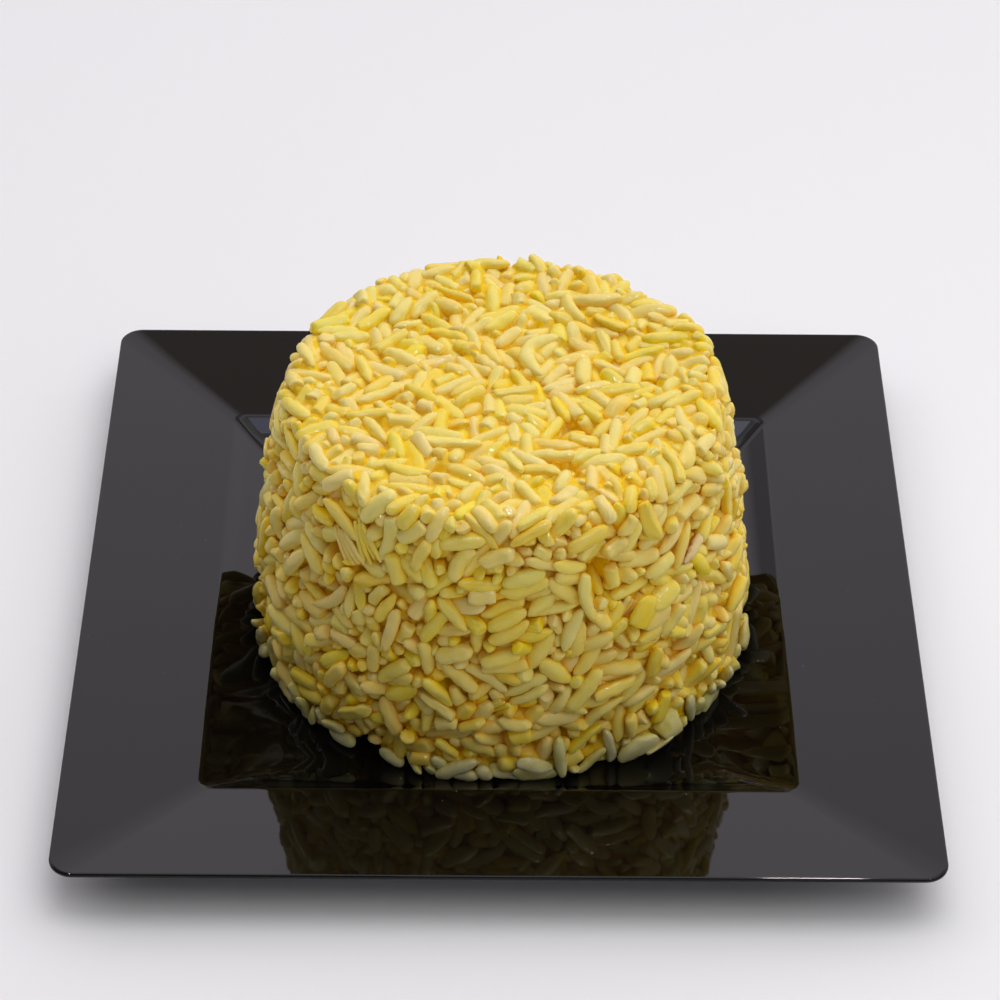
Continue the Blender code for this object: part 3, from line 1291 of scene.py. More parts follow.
@dataclass
class GrainSweep:
    """Turns chains of balls into joined meshes of grains."""

    mould: Mould
    plate: Plate
    core: "PastedCore"
    seed: int = 17
    wrinkle: float = 0.06  # height of the skin's unevenness, in radii
    wrinkle_waves: Triple = (4.1, 2.3, 9.7)  # along the grain: two that cross, a finer one
    fine_wrinkle: float = 0.6  # height of the finer one, as a share
    lobes: Span = (0.045, 0.03)  # height of the three and of the five lengthwise ribs
    twist: float = 0.35  # of the ribs along the grain, in radians
    crack_apart: Span = (0.75, 0.35)  # least angle between cracks, and what chance adds
    crack_width: float = 0.24
    crack_least: float = 0.5  # least depth, in grooves; chance adds up to one more
    dent_size: Span = (0.75, 0.3)  # round the grain, in radians, and along it
    dent_depth: Span = (0.03, 0.16)
    dent_within: float = 0.85  # share of the half length that has dents
    facet_at: Span = (0.7, 0.98)  # distance of the flats from the middle, in radii
    facet_twist: float = 0.25  # how far a flat turns over half the length
    facet_edge: float = 0.2  # cosine of the widest angle that a flat reaches
    flat_cut: float = 0.85  # how flat a cut is; the starch swells out of it a little
    cut_slant: Span = (0.15, 1.0)  # share of the steepest slant that a cut has
    cut_from: float = 0.02  # height over a cut where the skin counts as cut off
    no_cut: float = -9.0  # depth that puts the cutting plane clear of the grain
    fine_places: int = 121  # where the girth is worked out before the rings are set
    girth_weight: float = 1.4  # how much closer the rings are where the girth changes
    belly: float = 0.22  # how far a grain's thickest place lies off its middle
    waves_mm: tuple[float, ...] = (6.5, 5.4, 4.4, 3.7, 3.1, 2.6, 2.2, 1.8)
    unevenness: float = 0.014  # sway of each of those waves over its length
    whitened: float = 0.72  # share of the half length beyond which a tip may be white
    gap_shade_depth: Span = (0.15, 1.2)  # painted shade: depth under the heap's skin where the gaps' deeper yellow starts, and over what depth it is full
    tone_shares: Span = (0.3, 0.7)  # of the tone, from the grain's own and from that painted shade of depth
    whites: Triple = (0.7, 0.5, 0.6)  # whiteness of tips and of cuts, and of all of it
    past_ends: float = 1.05  # how far a grain runs past its end balls' middles, in radii
    least_half: float = 0.3  # half length that a chain is taken to have at least
    roll: float = 0.5  # how far a grain may turn about itself
    pressed: float = 0.75  # how much of what stands past the mould is pressed back
    lift: float = 0.05  # least height over the plate

    def spine(self, chains: Array, over: Array, t: Array) -> tuple[Array, Array]:
        """Points and directions along the grains' middle lines.

        Args:
            chains: the balls of each grain.
            over: how far each grain runs past its end balls, as a share of
                its half length.
            t: places along each grain, -1 to 1 from tip to tip.

        Returns:
            The points and the unit directions there.
        """
        s = np.linspace(-1, 1, chains.shape[1])
        fit = np.linalg.pinv(np.stack([s**0, s, s**2, s**3], axis=1))
        terms = np.einsum("kb,nbc->nkc", fit, chains)[:, :, None]
        flat, slant, bow, twist = (terms[:, k] for k in range(4))
        place = t * (1 + over[:, None])
        inner = np.clip(place, -1, 1)[..., None]
        point = flat + inner * (slant + inner * (bow + inner * twist))
        slope = slant + inner * (2 * bow + inner * 3 * twist)
        return point + slope * (place[..., None] - inner), unit(slope)

    def stations(
        self, form: GrainForm, aspect: Array, rng: np.random.Generator
    ) -> tuple[Array, Array]:
        """Places of the rings and the girth there, closer where a grain turns.

        Args:
            form: how the grains are drawn.
            aspect: half length of each grain over its radius.
            rng: source of chance.

        Returns:
            Places from -1 to 1 and girths from 0 to 1, tips included.
        """
        count = len(aspect)
        fine = np.sin(np.linspace(-np.pi / 2, np.pi / 2, self.fine_places))
        belly = rng.uniform(-self.belly, self.belly, (count, 1))
        before = fine < belly
        away = np.where(before, (belly - fine) / (1 + belly), (fine - belly) / (1 - belly))
        power, sharp = (
            np.where(before, ends[:, :1], ends[:, 1:])
            for ends in (rng.uniform(*span, (count, 2)) for span in (form.taper, form.point))
        )
        girth = np.clip(1 - np.clip(away, 0, 1) ** power, 0, 1) ** sharp
        widening = self.girth_weight * np.diff(girth, axis=1)
        run = np.hypot(np.diff(fine) * aspect[:, None], widening)
        reached = np.concatenate([np.zeros((count, 1)), np.cumsum(run, axis=1)], axis=1)
        reached /= reached[:, -1:]
        wanted = np.linspace(0, 1, form.rings + 2)
        place = np.stack([np.interp(wanted, row, fine) for row in reached])
        size = np.stack([np.interp(wanted, row, g) for row, g in zip(reached, girth)])
        return place, size

    def outline(self, form: GrainForm, t: Array, rng: np.random.Generator) -> tuple[Array, Array]:
        """Radius of each ring all round, as a share of the grain's own.

        Args:
            form: how the grains are drawn.
            t: places of the rings.
            rng: source of chance.

        Returns:
            The angles of the ring's points and the radius at each.
        """
        each = (len(t), 1, 1)
        phi = np.linspace(0, 2 * np.pi, form.sides, endpoint=False)
        twist = rng.normal(0, self.twist, each[:2]) * t + rng.uniform(0, 2 * np.pi, each[:2])
        turned = phi + twist[..., None]
        phase = rng.uniform(0, 2 * np.pi, (len(t), 6, 1, 1))
        along = t[..., None]
        coarse, crossing, fine = self.wrinkle_waves
        radius = (
            1
            + self.lobes[0] * np.cos(3 * turned)
            + self.lobes[1] * np.cos(5 * turned + phase[:, 0])
            + self.wrinkle
            * np.sin(coarse * along + 2 * phi + phase[:, 1])
            * np.sin(crossing * along + phi + phase[:, 2])
            + self.fine_wrinkle * self.wrinkle * np.sin(fine * along + 3 * phi + phase[:, 3])
        )
        for crack in range(form.cracks):
            least, more = self.crack_apart
            middle = phase[:, 4] + crack * (least + more * rng.random(each))
            off = np.angle(np.exp(1j * (phi - middle)))
            depth = form.groove * (self.crack_least + rng.random(each))
            radius = radius - depth * np.exp(-((off / self.crack_width) ** 2))
        for _ in range(form.dents):
            place = rng.uniform(-self.dent_within, self.dent_within, each)
            middle = rng.uniform(0, 2 * np.pi, each)
            off = np.angle(np.exp(1j * (phi - middle))) / self.dent_size[0]
            beside = (along - place) / self.dent_size[1]
            radius = radius - rng.uniform(*self.dent_depth, each) * np.exp(-(off**2) - beside**2)
        for _ in range(form.facets):
            middle = rng.uniform(0, 2 * np.pi, each) + self.facet_twist * along
            limit = rng.uniform(*self.facet_at, each)
            facing = np.cos(phi - middle)
            flat = np.minimum(radius, limit / np.maximum(facing, self.facet_edge))
            radius = np.where(facing > self.facet_edge, flat, radius)
        return phi, radius

    def cut_ends(
        self,
        form: GrainForm,
        skin: Array,
        t: Array,
        tips: tuple[Array, Array],
        thick: Array,
        rng: np.random.Generator,
    ) -> tuple[Array, Array]:
        """Cuts some of the ends off, nearly flat.

        Args:
            form: how the grains are drawn.
            skin: the points of each ring.
            t: places of the rings.
            tips: points of the middle line and the directions there.
            thick: radius of each grain.
            rng: source of chance.

        Returns:
            The points after the cut, and 1 where a point lies on a cut face.
        """
        count = len(skin)
        cut_face = np.zeros(skin.shape[:3])
        for end, sign in ((0, -1.0), (-1, 1.0)):
            outward = sign * tips[1][:, end]
            slant = np.tan(np.radians(rng.uniform(*self.cut_slant, count) * form.cut_deg))
            side = unit(np.cross(outward, rng.normal(size=(count, 3))))
            plane = unit(outward + side * slant[:, None])
            taken = rng.uniform(*form.cut_depth, count) * thick
            taken = np.where(rng.random(count) < form.cut, taken, self.no_cut)
            origin = tips[0][:, end] - outward * taken[:, None]
            past = ((skin - origin[:, None, None]) * plane[:, None, None]).sum(-1)
            past = np.where((t * sign > 0)[..., None], np.clip(past, 0, None), 0)
            fall = past / (plane * outward).sum(-1)[:, None, None]
            skin = skin - outward[:, None, None] * (self.flat_cut * fall)[..., None]
            cut_face = np.maximum(cut_face, past > self.cut_from)
        return skin, cut_face

    def warp(self, points: Array) -> Array:
        """Shifts points by a smooth random field, so that no grain is regular.

        Args:
            points: points in millimetres.

        Returns:
            The shifted points.
        """
        rng = np.random.default_rng(self.seed)
        moved = points.copy()
        for length in self.waves_mm:
            wave = unit(rng.normal(size=3)) * 2 * np.pi / length
            push = unit(rng.normal(size=3)) * self.unevenness * length
            moved += np.sin(points @ wave + rng.uniform(0, 2 * np.pi))[:, None] * push
        return moved

    def whiteness(
        self, form: GrainForm, t: Array, cut_face: Array, rng: np.random.Generator
    ) -> Array:
        """How white the grains are: at tips and on cut faces, and nowhere else.

        Args:
            form: how the grains are drawn.
            t: places of the rings.
            cut_face: 1 for each point on a cut face.
            rng: source of chance.

        Returns:
            One number for each point of the mesh.
        """
        count = len(t)
        white = form.white * rng.uniform(0, 1, (count, 1)) ** 2
        near_tip = np.clip((np.abs(t[:, 1:-1]) - self.whitened) / (1 - self.whitened), 0, 1)
        tips, cuts, both = self.whites
        tip = tips * np.repeat(near_tip, form.sides, axis=1)
        tip = tip + cuts * cut_face[:, 1:-1].reshape(count, -1)
        tip = both * np.concatenate([tip, np.ones((count, 2))], axis=1) * white
        return tip.ravel()

    def bodies(
        self, form: GrainForm, chains: Array, radii: Array, rng: np.random.Generator
    ) -> tuple[Array, Array, Array]:
        """Shapes the grains, before the mould and the plate press on them.

        Args:
            form: how the grains are drawn.
            chains: the balls of each grain.
            radii: their radii.
            rng: source of chance.

        Returns:
            The points of each grain, ring by ring and then the two end
            points; the places of the rings; and 1 for what lies on a cut face.
        """
        count = len(chains)
        swap = rng.random(count) < 0.5
        chains = np.where(swap[:, None, None], chains[:, ::-1], chains)
        reach = np.linalg.norm(chains[:, -1] - chains[:, 0], axis=1) / 2
        thick = radii.max(1) * rng.uniform(*form.width, count)
        over = self.past_ends * radii[:, 0] / np.maximum(reach, self.least_half)
        t, girth = self.stations(form, (reach + radii[:, 0]) / thick, rng)
        point, ahead = self.spine(chains, over, t)
        _, out = self.mould.depth(chains.mean(1))
        out = unit(out + self.roll * rng.normal(size=(count, 3)))
        up = unit(out[:, None] - ahead * (out[:, None] * ahead).sum(2)[..., None])
        side = np.cross(ahead, up)
        phi, outline = self.outline(form, t, rng)
        ring = thick[:, None, None] * girth[..., None] * outline
        flatness = rng.uniform(*form.flatness, (count, 1, 1))
        skin = (
            point[:, :, None]
            + up[:, :, None] * (ring * np.sin(phi) * flatness)[..., None]
            + side[:, :, None] * (ring * np.cos(phi))[..., None]
        )
        skin, cut_face = self.cut_ends(form, skin, t, (point, ahead), thick, rng)
        body = skin[:, 1:-1].reshape(count, -1, 3)
        points = np.concatenate([body, skin[:, 0, :1], skin[:, -1, :1]], axis=1)
        return points, t, cut_face

    def sweep(
        self,
        kind: GrainKind,
        chains: Array,
        radii: Array,
        press_to: Array,
        looks: Array,
        finish: bpy.types.Material,
    ) -> bpy.types.Object:
        """Models all grains of one kind as one joined mesh.

        Args:
            kind: the kind of grain.
            chains: the balls of each grain.
            radii: their radii.
            press_to: how far past the mould each grain's skin may stand.
            looks: tone, pallor and hue of each grain, 0 to 1.
            finish: their material.

        Returns:
            The piece.
        """
        form = FORMS[kind]
        rng = np.random.default_rng(self.seed + list(GrainKind).index(kind))
        points, t, cut_face = self.bodies(form, chains, radii, rng)
        flat = self.warp(points.reshape(-1, 3))
        depth, way = self.mould.depth(flat)
        limit = np.repeat(press_to, points.shape[1])
        flat = flat - way * (self.pressed * np.clip(-limit - depth, 0, None))[:, None]
        flat[:, 2] = np.maximum(flat[:, 2], self.plate.floor_height(flat) + self.lift)
        quads, triangles = tube_faces(form.rings, form.sides)
        start = (np.arange(len(points)) * points.shape[1])[:, None, None]
        whiteness = self.whiteness(form, t, cut_face, rng)
        own = np.repeat(looks, points.shape[1], axis=0)
        # Painted shade: points sunk under the heap's closed skin take the deep yellow of the gaps,
        # and their white tips fade there.
        sunk = np.clip((self.core.sunk(flat) - self.gap_shade_depth[0]) / self.gap_shade_depth[1], 0, 1)
        tone = self.tone_shares[0] * own[:, 0] + self.tone_shares[1] * sunk
        LOG.info("rice_%s: %d grains", kind.value, len(points))
        piece = mesh_piece(
            f"rice_{kind.value}",
            flat,
            (start + quads).reshape(-1, 4),
            (start + triangles).reshape(-1, 3),
            finish,
            np.stack([tone, own[:, 1], whiteness * (1 - sunk), own[:, 2]], axis=1),
            way,
        )
        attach(piece, "root")
        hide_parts("rice_mound")
        return piece


@dataclass
class PastedCore:
    """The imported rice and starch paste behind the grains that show.

    Its surface follows the grains a little way below their skins, and bridges
    the narrow gaps between them as sticky starch does. Sizes in millimetres.
    """

    mould: Mould
    step: float = 0.74  # spacing of its points
    bridge: float = 0.6  # half width of the widest gap that paste fills
    below: Span = (2.5, 0.55)  # paste under the skins, at the side and on the top
    deepest: float = 6.0
    top_hole: float = 2.5  # radius of the small disc that closes the top
    fine_balls: int = 13  # balls along each grain when its skin is looked for
    fine_radius: float = 0.95  # their radius as a share of the grain's
    largest: float = 1.75  # over the radius of every ball
    lift: float = 0.25  # least height over the plate
    rows: int = field(init=False)
    columns: int = field(init=False)
    spacing: float = field(init=False)  # of the rows
    base: Array = field(init=False)  # points on the mould, one row after another
    out: Array = field(init=False)  # outward direction at each
    paste: Array = field(init=False)  # height of the paste there
    level: Array = field(init=False)  # height of the heap's closed skin, by row and column

    def shape(self, chains: Array, radii: Array) -> None:
        """Finds the height of the grains' skin and of the paste all over.

        Args:
            chains: the balls of each grain.
            radii: their radii.
        """
        profile = self.mould.profile
        piece = np.linalg.norm(np.diff(profile, axis=0), axis=1)
        total = piece.sum() - self.top_hole
        self.rows = int(total / self.step) + 1
        self.columns = int(2 * np.pi * profile[:, 0].max() / self.step)
        reached = np.concatenate([[0], np.cumsum(piece)])
        arc = np.linspace(0, total, self.rows)
        radius, height = (np.interp(arc, reached, profile[:, k]) for k in (0, 1))
        angle = np.linspace(0, 2 * np.pi, self.columns, endpoint=False)
        base = self.mould.around(radius[:, None], angle, height[:, None])
        self.base = base.reshape(-1, 3)
        self.spacing = total / (self.rows - 1)
        slope = np.gradient(np.stack([radius, height], axis=1), axis=0)
        self.out = self.mould.outward(
            np.repeat(slope, self.columns, axis=0), np.tile(angle, self.rows)
        )
        skin = self.skin(chains, radii)
        near = close_pairs(self.base, self.bridge)
        both_ways = (near, near[::-1])
        grown = skin.copy()
        for one, other in both_ways:
            np.maximum.at(grown, one, skin[other])
        closed = grown.copy()
        for one, other in both_ways:
            np.minimum.at(closed, one, grown[other])
        self.level = closed.reshape(self.rows, self.columns)
        count = len(closed)
        total_near, smooth = np.ones(count), closed.copy()
        for one, other in both_ways:
            smooth += np.bincount(one, closed[other], count)
            total_near += np.bincount(one, minlength=count)
        facing_up = np.clip(self.out[:, 2], 0, 1)
        below = self.below[0] + (self.below[1] - self.below[0]) * facing_up
        self.paste = np.minimum(smooth / total_near, closed) - below

    def skin(self, chains: Array, radii: Array) -> Array:
        """Height of the grains' outer skin over each point of the mould.

        Args:
            chains: the balls of each grain.
            radii: their radii.

        Returns:
            One height for each point, negative inside the mould.
        """
        fine = np.linspace(0, chains.shape[1] - 1, self.fine_balls)
        k = np.minimum(fine.astype(int), chains.shape[1] - 2)
        part = fine - k
        balls = chains[:, k] + (chains[:, k + 1] - chains[:, k]) * part[:, None]
        sizes = radii[:, k] + (radii[:, k + 1] - radii[:, k]) * part
        balls, sizes = balls.reshape(-1, 3), self.fine_radius * sizes.ravel()
        _, depth, way = self.mould.locate(balls)
        shallow = depth < self.deepest
        balls, sizes = balls[shallow], sizes[shallow]
        pressed = balls + way[shallow] * depth[shallow][:, None]
        count = len(self.base)
        first, second = close_pairs(np.concatenate([self.base, pressed]), self.largest)
        mixed = (first < count) != (second < count)
        first, second = first[mixed], second[mixed]
        vertex = np.minimum(first, second)
        ball = np.maximum(first, second) - count
        offset = balls[ball] - self.base[vertex]
        rise = (offset * self.out[vertex]).sum(1)
        beside = (offset * offset).sum(1) - rise * rise
        over = sizes[ball] ** 2 - beside
        hit = over > 0
        skin = np.full(count, -self.deepest)
        np.maximum.at(skin, vertex[hit], rise[hit] + np.sqrt(over[hit]))
        return skin

    def sunk(self, points: Array) -> Array:
        """How far points lie below the closed outer skin of the heap.

        Args:
            points: points in millimetres.

        Returns:
            One depth for each point.
        """
        arc, depth, _ = self.mould.locate(points)
        x, y = self.mould.centre
        angle = np.arctan2(points[:, 1] - y, points[:, 0] - x)
        row = np.clip(np.rint(arc / self.spacing).astype(int), 0, self.rows - 1)
        column = np.rint(angle / (2 * np.pi) * self.columns).astype(int) % self.columns
        return self.level[row, column] + depth

    def build(self, plate: Plate) -> bpy.types.Object:
        """Models the core.

        Args:
            plate: the plate under it.

        Returns:
            The core.
        """
        points = self.base + self.out * self.paste[:, None]
        points[:, 2] = np.maximum(points[:, 2], plate.floor_height(points) + self.lift)
        last = points[-self.columns :, 2].mean()
        ends = [[*self.mould.centre, z] for z in (plate.floor + self.lift, last)]
        quads, fans = tube_faces(self.rows, self.columns)
        piece = mesh_piece(
            "rice_core",
            np.concatenate([points, ends]),
            quads[:, [0, 3, 2, 1]],
            fans[:, [0, 2, 1]],
            PackedStarch().material(),
        )
        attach(piece, "root")
        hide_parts("rice_mound")
        return piece


@dataclass
class RiceMound:
    """The heap: the core, and the grains pressed over it."""

    plate: Plate
    outer_depth: float = 2.9  # a grain whose nearest ball is less deep shows
    hidden: float = 1.8  # grains wholly deeper than this under the skin are left out
    bent_share: float = 0.055  # a grain that bows more than this counts as curved
    dip: float = 1.5  # how far the top has sunk
    dip_middle: Span = (9.0, 5.0)
    dip_radius: float = 20.0
    lump: float = 0.8  # height of the lumps in its side
    # Turns round the heap, radians up it and phase of the waves that add up to them.
    swells: tuple[Triple, ...] = ((3, 7, 0.7), (7, -11, 2.1), (12, 16, 4.4))
    swell_radius: float = 30.0  # they grow from the middle out to here
    top_lump: float = 0.6  # height of the top's lumps, as a share of the side's
    top_waves: tuple[Span, Span] = ((7.1, 1.3), (6.3, -0.4))  # length and phase, x and y
    top_only: int = 4  # power of the height that keeps the dip and those in the top
    top_over: float = 0.2  # how far the mould's top lies over the CAD heap's
    tone_odds: Span = (2.4, 2.8)  # of the beta spread of tones
    hue_odds: Span = (2.0, 2.0)
    skin_at: float = 1.1  # where a grain's skin is taken to be, in radii
    slivers: int = 4  # that a grain splits into
    sliver_radius: float = 0.40  # as a share of the whole grain's
    sliver_apart: float = 0.95
    sliver_turn_deg: Span = (5.0, 1.5)  # between neighbours, and by chance
    sliver_slide: float = 0.5
    skin_over: float = 0.12  # how far a grain's skin may stand past its own limit
    odds: tuple[tuple[GrainKind, float], ...] = (
        (GrainKind.LONG, 0.40),
        (GrainKind.PLUMP, 0.24),
        (GrainKind.POINTED, 0.12),
        (GrainKind.BARREL, 0.08),
        (GrainKind.BROKEN, 0.10),
        (GrainKind.SPLIT, 0.045),
        (GrainKind.SLIVER, 0.015),
    )
    short_odds: tuple[tuple[GrainKind, float], ...] = (
        (GrainKind.CHIP, 0.30),
        (GrainKind.BROKEN, 0.45),
        (GrainKind.BARREL, 0.25),
    )
    hollows: tuple[Four, ...] = (
        (17.7, -41.0, 49.0, 2.0),
        (17.7, -41.6, 45.4, 2.2),
        (17.0, -39.0, 47.0, 2.2),
        (10.6, -25.0, 58.8, 1.8),
        (13.6, -25.6, 59.0, 1.5),
        (13.0, -11.5, 58.6, 1.8),
        (23.3, -43.4, 13.8, 1.5),
        (33.5, -35.0, 22.5, 1.9),
        (26.0, -42.0, 27.0, 1.2),
        (23.5, -43.0, 29.5, 1.1),
        (-9.0, -47.0, 37.0, 1.3),
        (-31.0, -36.0, 40.0, 1.4),
    )
    set_grains: tuple[SetGrain, ...] = (
        SetGrain(GrainKind.CURVED, (7.5, 9.0, 60.0), (0.25, 1.0, 0.0), 12.5, 0.62),
        SetGrain(GrainKind.SPLIT, (0.5, -4.0, 60.0), (1.0, 0.35, 0.0), 10.0),
        SetGrain(GrainKind.SLIVER, (-24.0, -37.5, 52.0), (0.6, -0.3, -1.0), 10.5, sunk=0.7),
        SetGrain(GrainKind.SLIVER, (-27.5, -35.5, 50.0), (0.4, -0.2, -1.0), 9.5, sunk=0.8),
        SetGrain(GrainKind.HUSKY, (34.0, -28.0, 43.5), (0.8, 0.6, 0.12), 6.8, sunk=0.5),
        SetGrain(GrainKind.SPLIT, (21.0, -43.0, 22.0), (0.9, 0.4, 0.25), 10.0, sunk=0.7),
        SetGrain(GrainKind.SPLIT, (-12.0, -46.0, 19.0), (1.0, -0.2, -0.25), 9.0, sunk=0.8),
        SetGrain(GrainKind.MASHED, (26.0, -39.5, 37.5), (0.7, 0.5, 0.6), 7.5, radius=1.6, sunk=0.0),
        SetGrain(GrainKind.MASHED, (28.5, -38.0, 35.0), (0.8, 0.6, -0.3), 7.0, radius=1.6, sunk=0.1),
        SetGrain(GrainKind.MASHED, (30.5, -37.0, 38.0), (0.5, 0.4, 0.9), 7.0, sunk=0.0),
        SetGrain(GrainKind.MASHED, (27.5, -39.5, 32.0), (0.3, 0.2, 1.0), 6.5, sunk=0.2),
        SetGrain(GrainKind.LONG, (16.0, -42.0, 44.0), (0.1, 0.0, 1.0), 11.0, 0.2, sunk=0.9),
        SetGrain(GrainKind.LONG, (-20.0, -43.5, 36.0), (0.3, 0.0, -1.0), 10.0, sunk=0.8),
        SetGrain(GrainKind.PLUMP, (-18.5, -27.5, 60.0), (1.0, -0.35, 0.0), 9.0, radius=1.6),
        SetGrain(GrainKind.SMEARED, (7.0, -49.0, 2.6), (1.0, 0.1, 0.0), 9.0, sunk=-0.9),
        SetGrain(GrainKind.SMEARED, (26.5, -42.0, 3.2), (1.0, 0.6, 0.15), 9.0, radius=1.6, sunk=-1.0),
        SetGrain(GrainKind.SMEARED, (33.0, -37.0, 4.6), (1.0, 0.9, 0.5), 8.0, radius=1.6, sunk=-0.9),
        SetGrain(GrainKind.SMEARED, (30.5, -39.0, 2.8), (1.0, 0.8, 0.0), 7.5, sunk=-1.2),
        SetGrain(GrainKind.SMEARED, (41.0, -27.5, 3.0), (0.6, 0.9, 0.1), 7.0, sunk=-1.0),
        SetGrain(GrainKind.SOAKED, (42.5, -28.0, 4.5), (0.3, -0.3, -1.0), 6.5, sunk=-0.6),
        SetGrain(GrainKind.SOAKED, (39.0, -32.0, 3.4), (0.6, 0.2, -0.8), 6.0, sunk=-0.5),
        SetGrain(GrainKind.SOAKED, (-38.0, -33.0, 3.2), (-0.5, -0.5, -0.7), 6.0, sunk=-0.6),
        SetGrain(GrainKind.SOAKED, (-33.0, -38.0, 3.0), (-0.3, -0.8, -0.5), 5.5, sunk=-0.6),
        SetGrain(GrainKind.SOAKED, (-10.0, -49.0, 3.2), (0.2, -0.5, -1.0), 7.0, sunk=-0.2),
    )
    mould: Mould = field(init=False)

    def __post_init__(self) -> None:
        """Places the mould where the CAD heap is."""
        low, high = (np.array(corner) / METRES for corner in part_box("rice_mound"))
        x, y, _ = ((low + high) / 2).tolist()
        self.mould = Mould((x, y), self.plate.floor, float(high[2]) + self.top_over)

    def slump(self, points: Array) -> Array:
        """Makes the pressed heap uneven: a sunk top and slow lumps in its side.

        Args:
            points: points in millimetres.

        Returns:
            The moved points.
        """
        flat = points.reshape(-1, 3)
        height = np.clip(flat[:, 2] / self.mould.top, 0, 1)
        x, y = flat[:, 0] - self.mould.centre[0], flat[:, 1] - self.mould.centre[1]
        angle, radius = np.arctan2(y, x), np.hypot(x, y)
        from_dip = (x - self.dip_middle[0]) ** 2 + (y - self.dip_middle[1]) ** 2
        dip = self.dip * np.exp(-from_dip / self.dip_radius**2)
        waves = sum(np.sin(turns * angle + up * height + phase) for turns, up, phase in self.swells)
        grown = np.clip(radius / self.swell_radius, 0, 1) ** 2
        swell = self.lump * (waves / len(self.swells)) * grown
        (x_length, x_phase), (y_length, y_phase) = self.top_waves
        across, ahead = np.sin(x / x_length + x_phase), np.sin(y / y_length + y_phase)
        rise = self.top_lump * self.lump * across * ahead - dip
        moved = [swell * np.cos(angle), swell * np.sin(angle), rise * height**self.top_only]
        return (flat + np.stack(moved, axis=1)).reshape(points.shape)

    def sort_grains(self, packing: GrainPacking) -> Array:
        """Gives every grain its kind.

        Args:
            packing: the pressed grains.

        Returns:
            The kind's number in GrainKind for each grain.
        """
        count = len(packing.chains)
        number = {kind: i for i, kind in enumerate(GrainKind)}
        depth, _ = self.mould.depth(packing.chains.reshape(-1, 3))
        nearest = depth.reshape(count, -1).min(1)
        bent = np.abs(packing.across[:, 0]) > self.bent_share * packing.along[:, -1]
        whole, short = (
            packing.rng.choice([number[kind] for kind, _ in odds], count, p=[p for _, p in odds])
            for odds in (self.odds, self.short_odds)
        )
        whole = np.where(bent & (whole == 0), number[GrainKind.CURVED], whole)
        kind = np.where(packing.broken, short, whole)
        kind = np.where(nearest > self.outer_depth, number[GrainKind.BURIED], kind)
        kind = np.where(packing.stray, number[GrainKind.SOAKED], kind)
        kind[: len(self.set_grains)] = [number[grain.kind] for grain in self.set_grains]
        return kind

    def fray(self, chains: Array, rng: np.random.Generator) -> Array:
        """Splits grains lengthwise into fans of slivers.

        Args:
            chains: the balls of each grain.
            rng: source of chance.

        Returns:
            The thinner chains, several for each one.
        """
        _, out = self.mould.depth(chains.mean(1))
        ahead = unit(chains[:, -1] - chains[:, 0])
        side = unit(np.cross(out, ahead))
        middle = chains.mean(1)
        offset = chains - middle[:, None]
        fan, chance = self.sliver_turn_deg
        slivers = []
        for place in np.arange(self.slivers) - (self.slivers - 1) / 2:
            turn = np.radians(place * fan + rng.normal(0, chance, len(chains)))[:, None, None]
            swung = offset * np.cos(turn) + np.cross(out[:, None], offset) * np.sin(turn)
            slide = rng.normal(0, self.sliver_slide, (len(chains), 1, 1)) * ahead[:, None]
            shift = side[:, None] * place * self.sliver_apart + slide
            slivers.append(middle[:, None] + swung + shift)
        return np.concatenate(slivers)

    def build(self) -> list[bpy.types.Object]:
        """Models the heap and puts it in place of its CAD node.

        Returns:
            Its pieces.
        """
        packing = GrainPacking(self.mould, self.plate, self.hollows, self.set_grains)
        packing.scatter()
        packing.press()
        packing.chains = self.slump(packing.chains)
        LOG.info("packed %d grains", len(packing.chains))
        kinds = self.sort_grains(packing)
        rice, soaked, bran = (f().material() for f in (CookedRice, SoakedRice, RiceBran))
        finishes = {GrainKind.SOAKED: soaked, GrainKind.SMEARED: soaked, GrainKind.HUSKY: bran}
        chains, radii = packing.chains, packing.radii
        core = PastedCore(self.mould)
        core.shape(chains, radii)
        sweep = GrainSweep(self.mould, self.plate, core)
        rng = packing.rng
        count = len(kinds)
        tone, pallor = rng.beta(*self.tone_odds, count), rng.random(count)
        looks = np.stack([tone, pallor, rng.beta(*self.hue_odds, count)], axis=1)
        limit = np.clip(packing.allowed, 0, None) + self.skin_over
        sunk = core.sunk(chains.reshape(-1, 3)).reshape(len(chains), -1)
        over = sunk - self.skin_at * radii
        kinds = np.where(over.min(1) > self.hidden, -1, kinds)
        pieces = [core.build(self.plate)]
        for number, kind in enumerate(GrainKind):
            some = kinds == number
            if not some.any():
                continue
            made = [chains[some], radii[some], limit[some], looks[some]]
            if kind is GrainKind.SLIVER:
                _, size, edge, look = made
                made = [
                    self.fray(chains[some], rng),
                    np.tile(size * self.sliver_radius, (self.slivers, 1)),
                    np.tile(edge, self.slivers),
                    np.tile(look, (self.slivers, 1)),
                ]
            pieces.append(sweep.sweep(kind, *made, finishes.get(kind, rice)))
        return pieces


# ------------------------------------------------------------------- studio


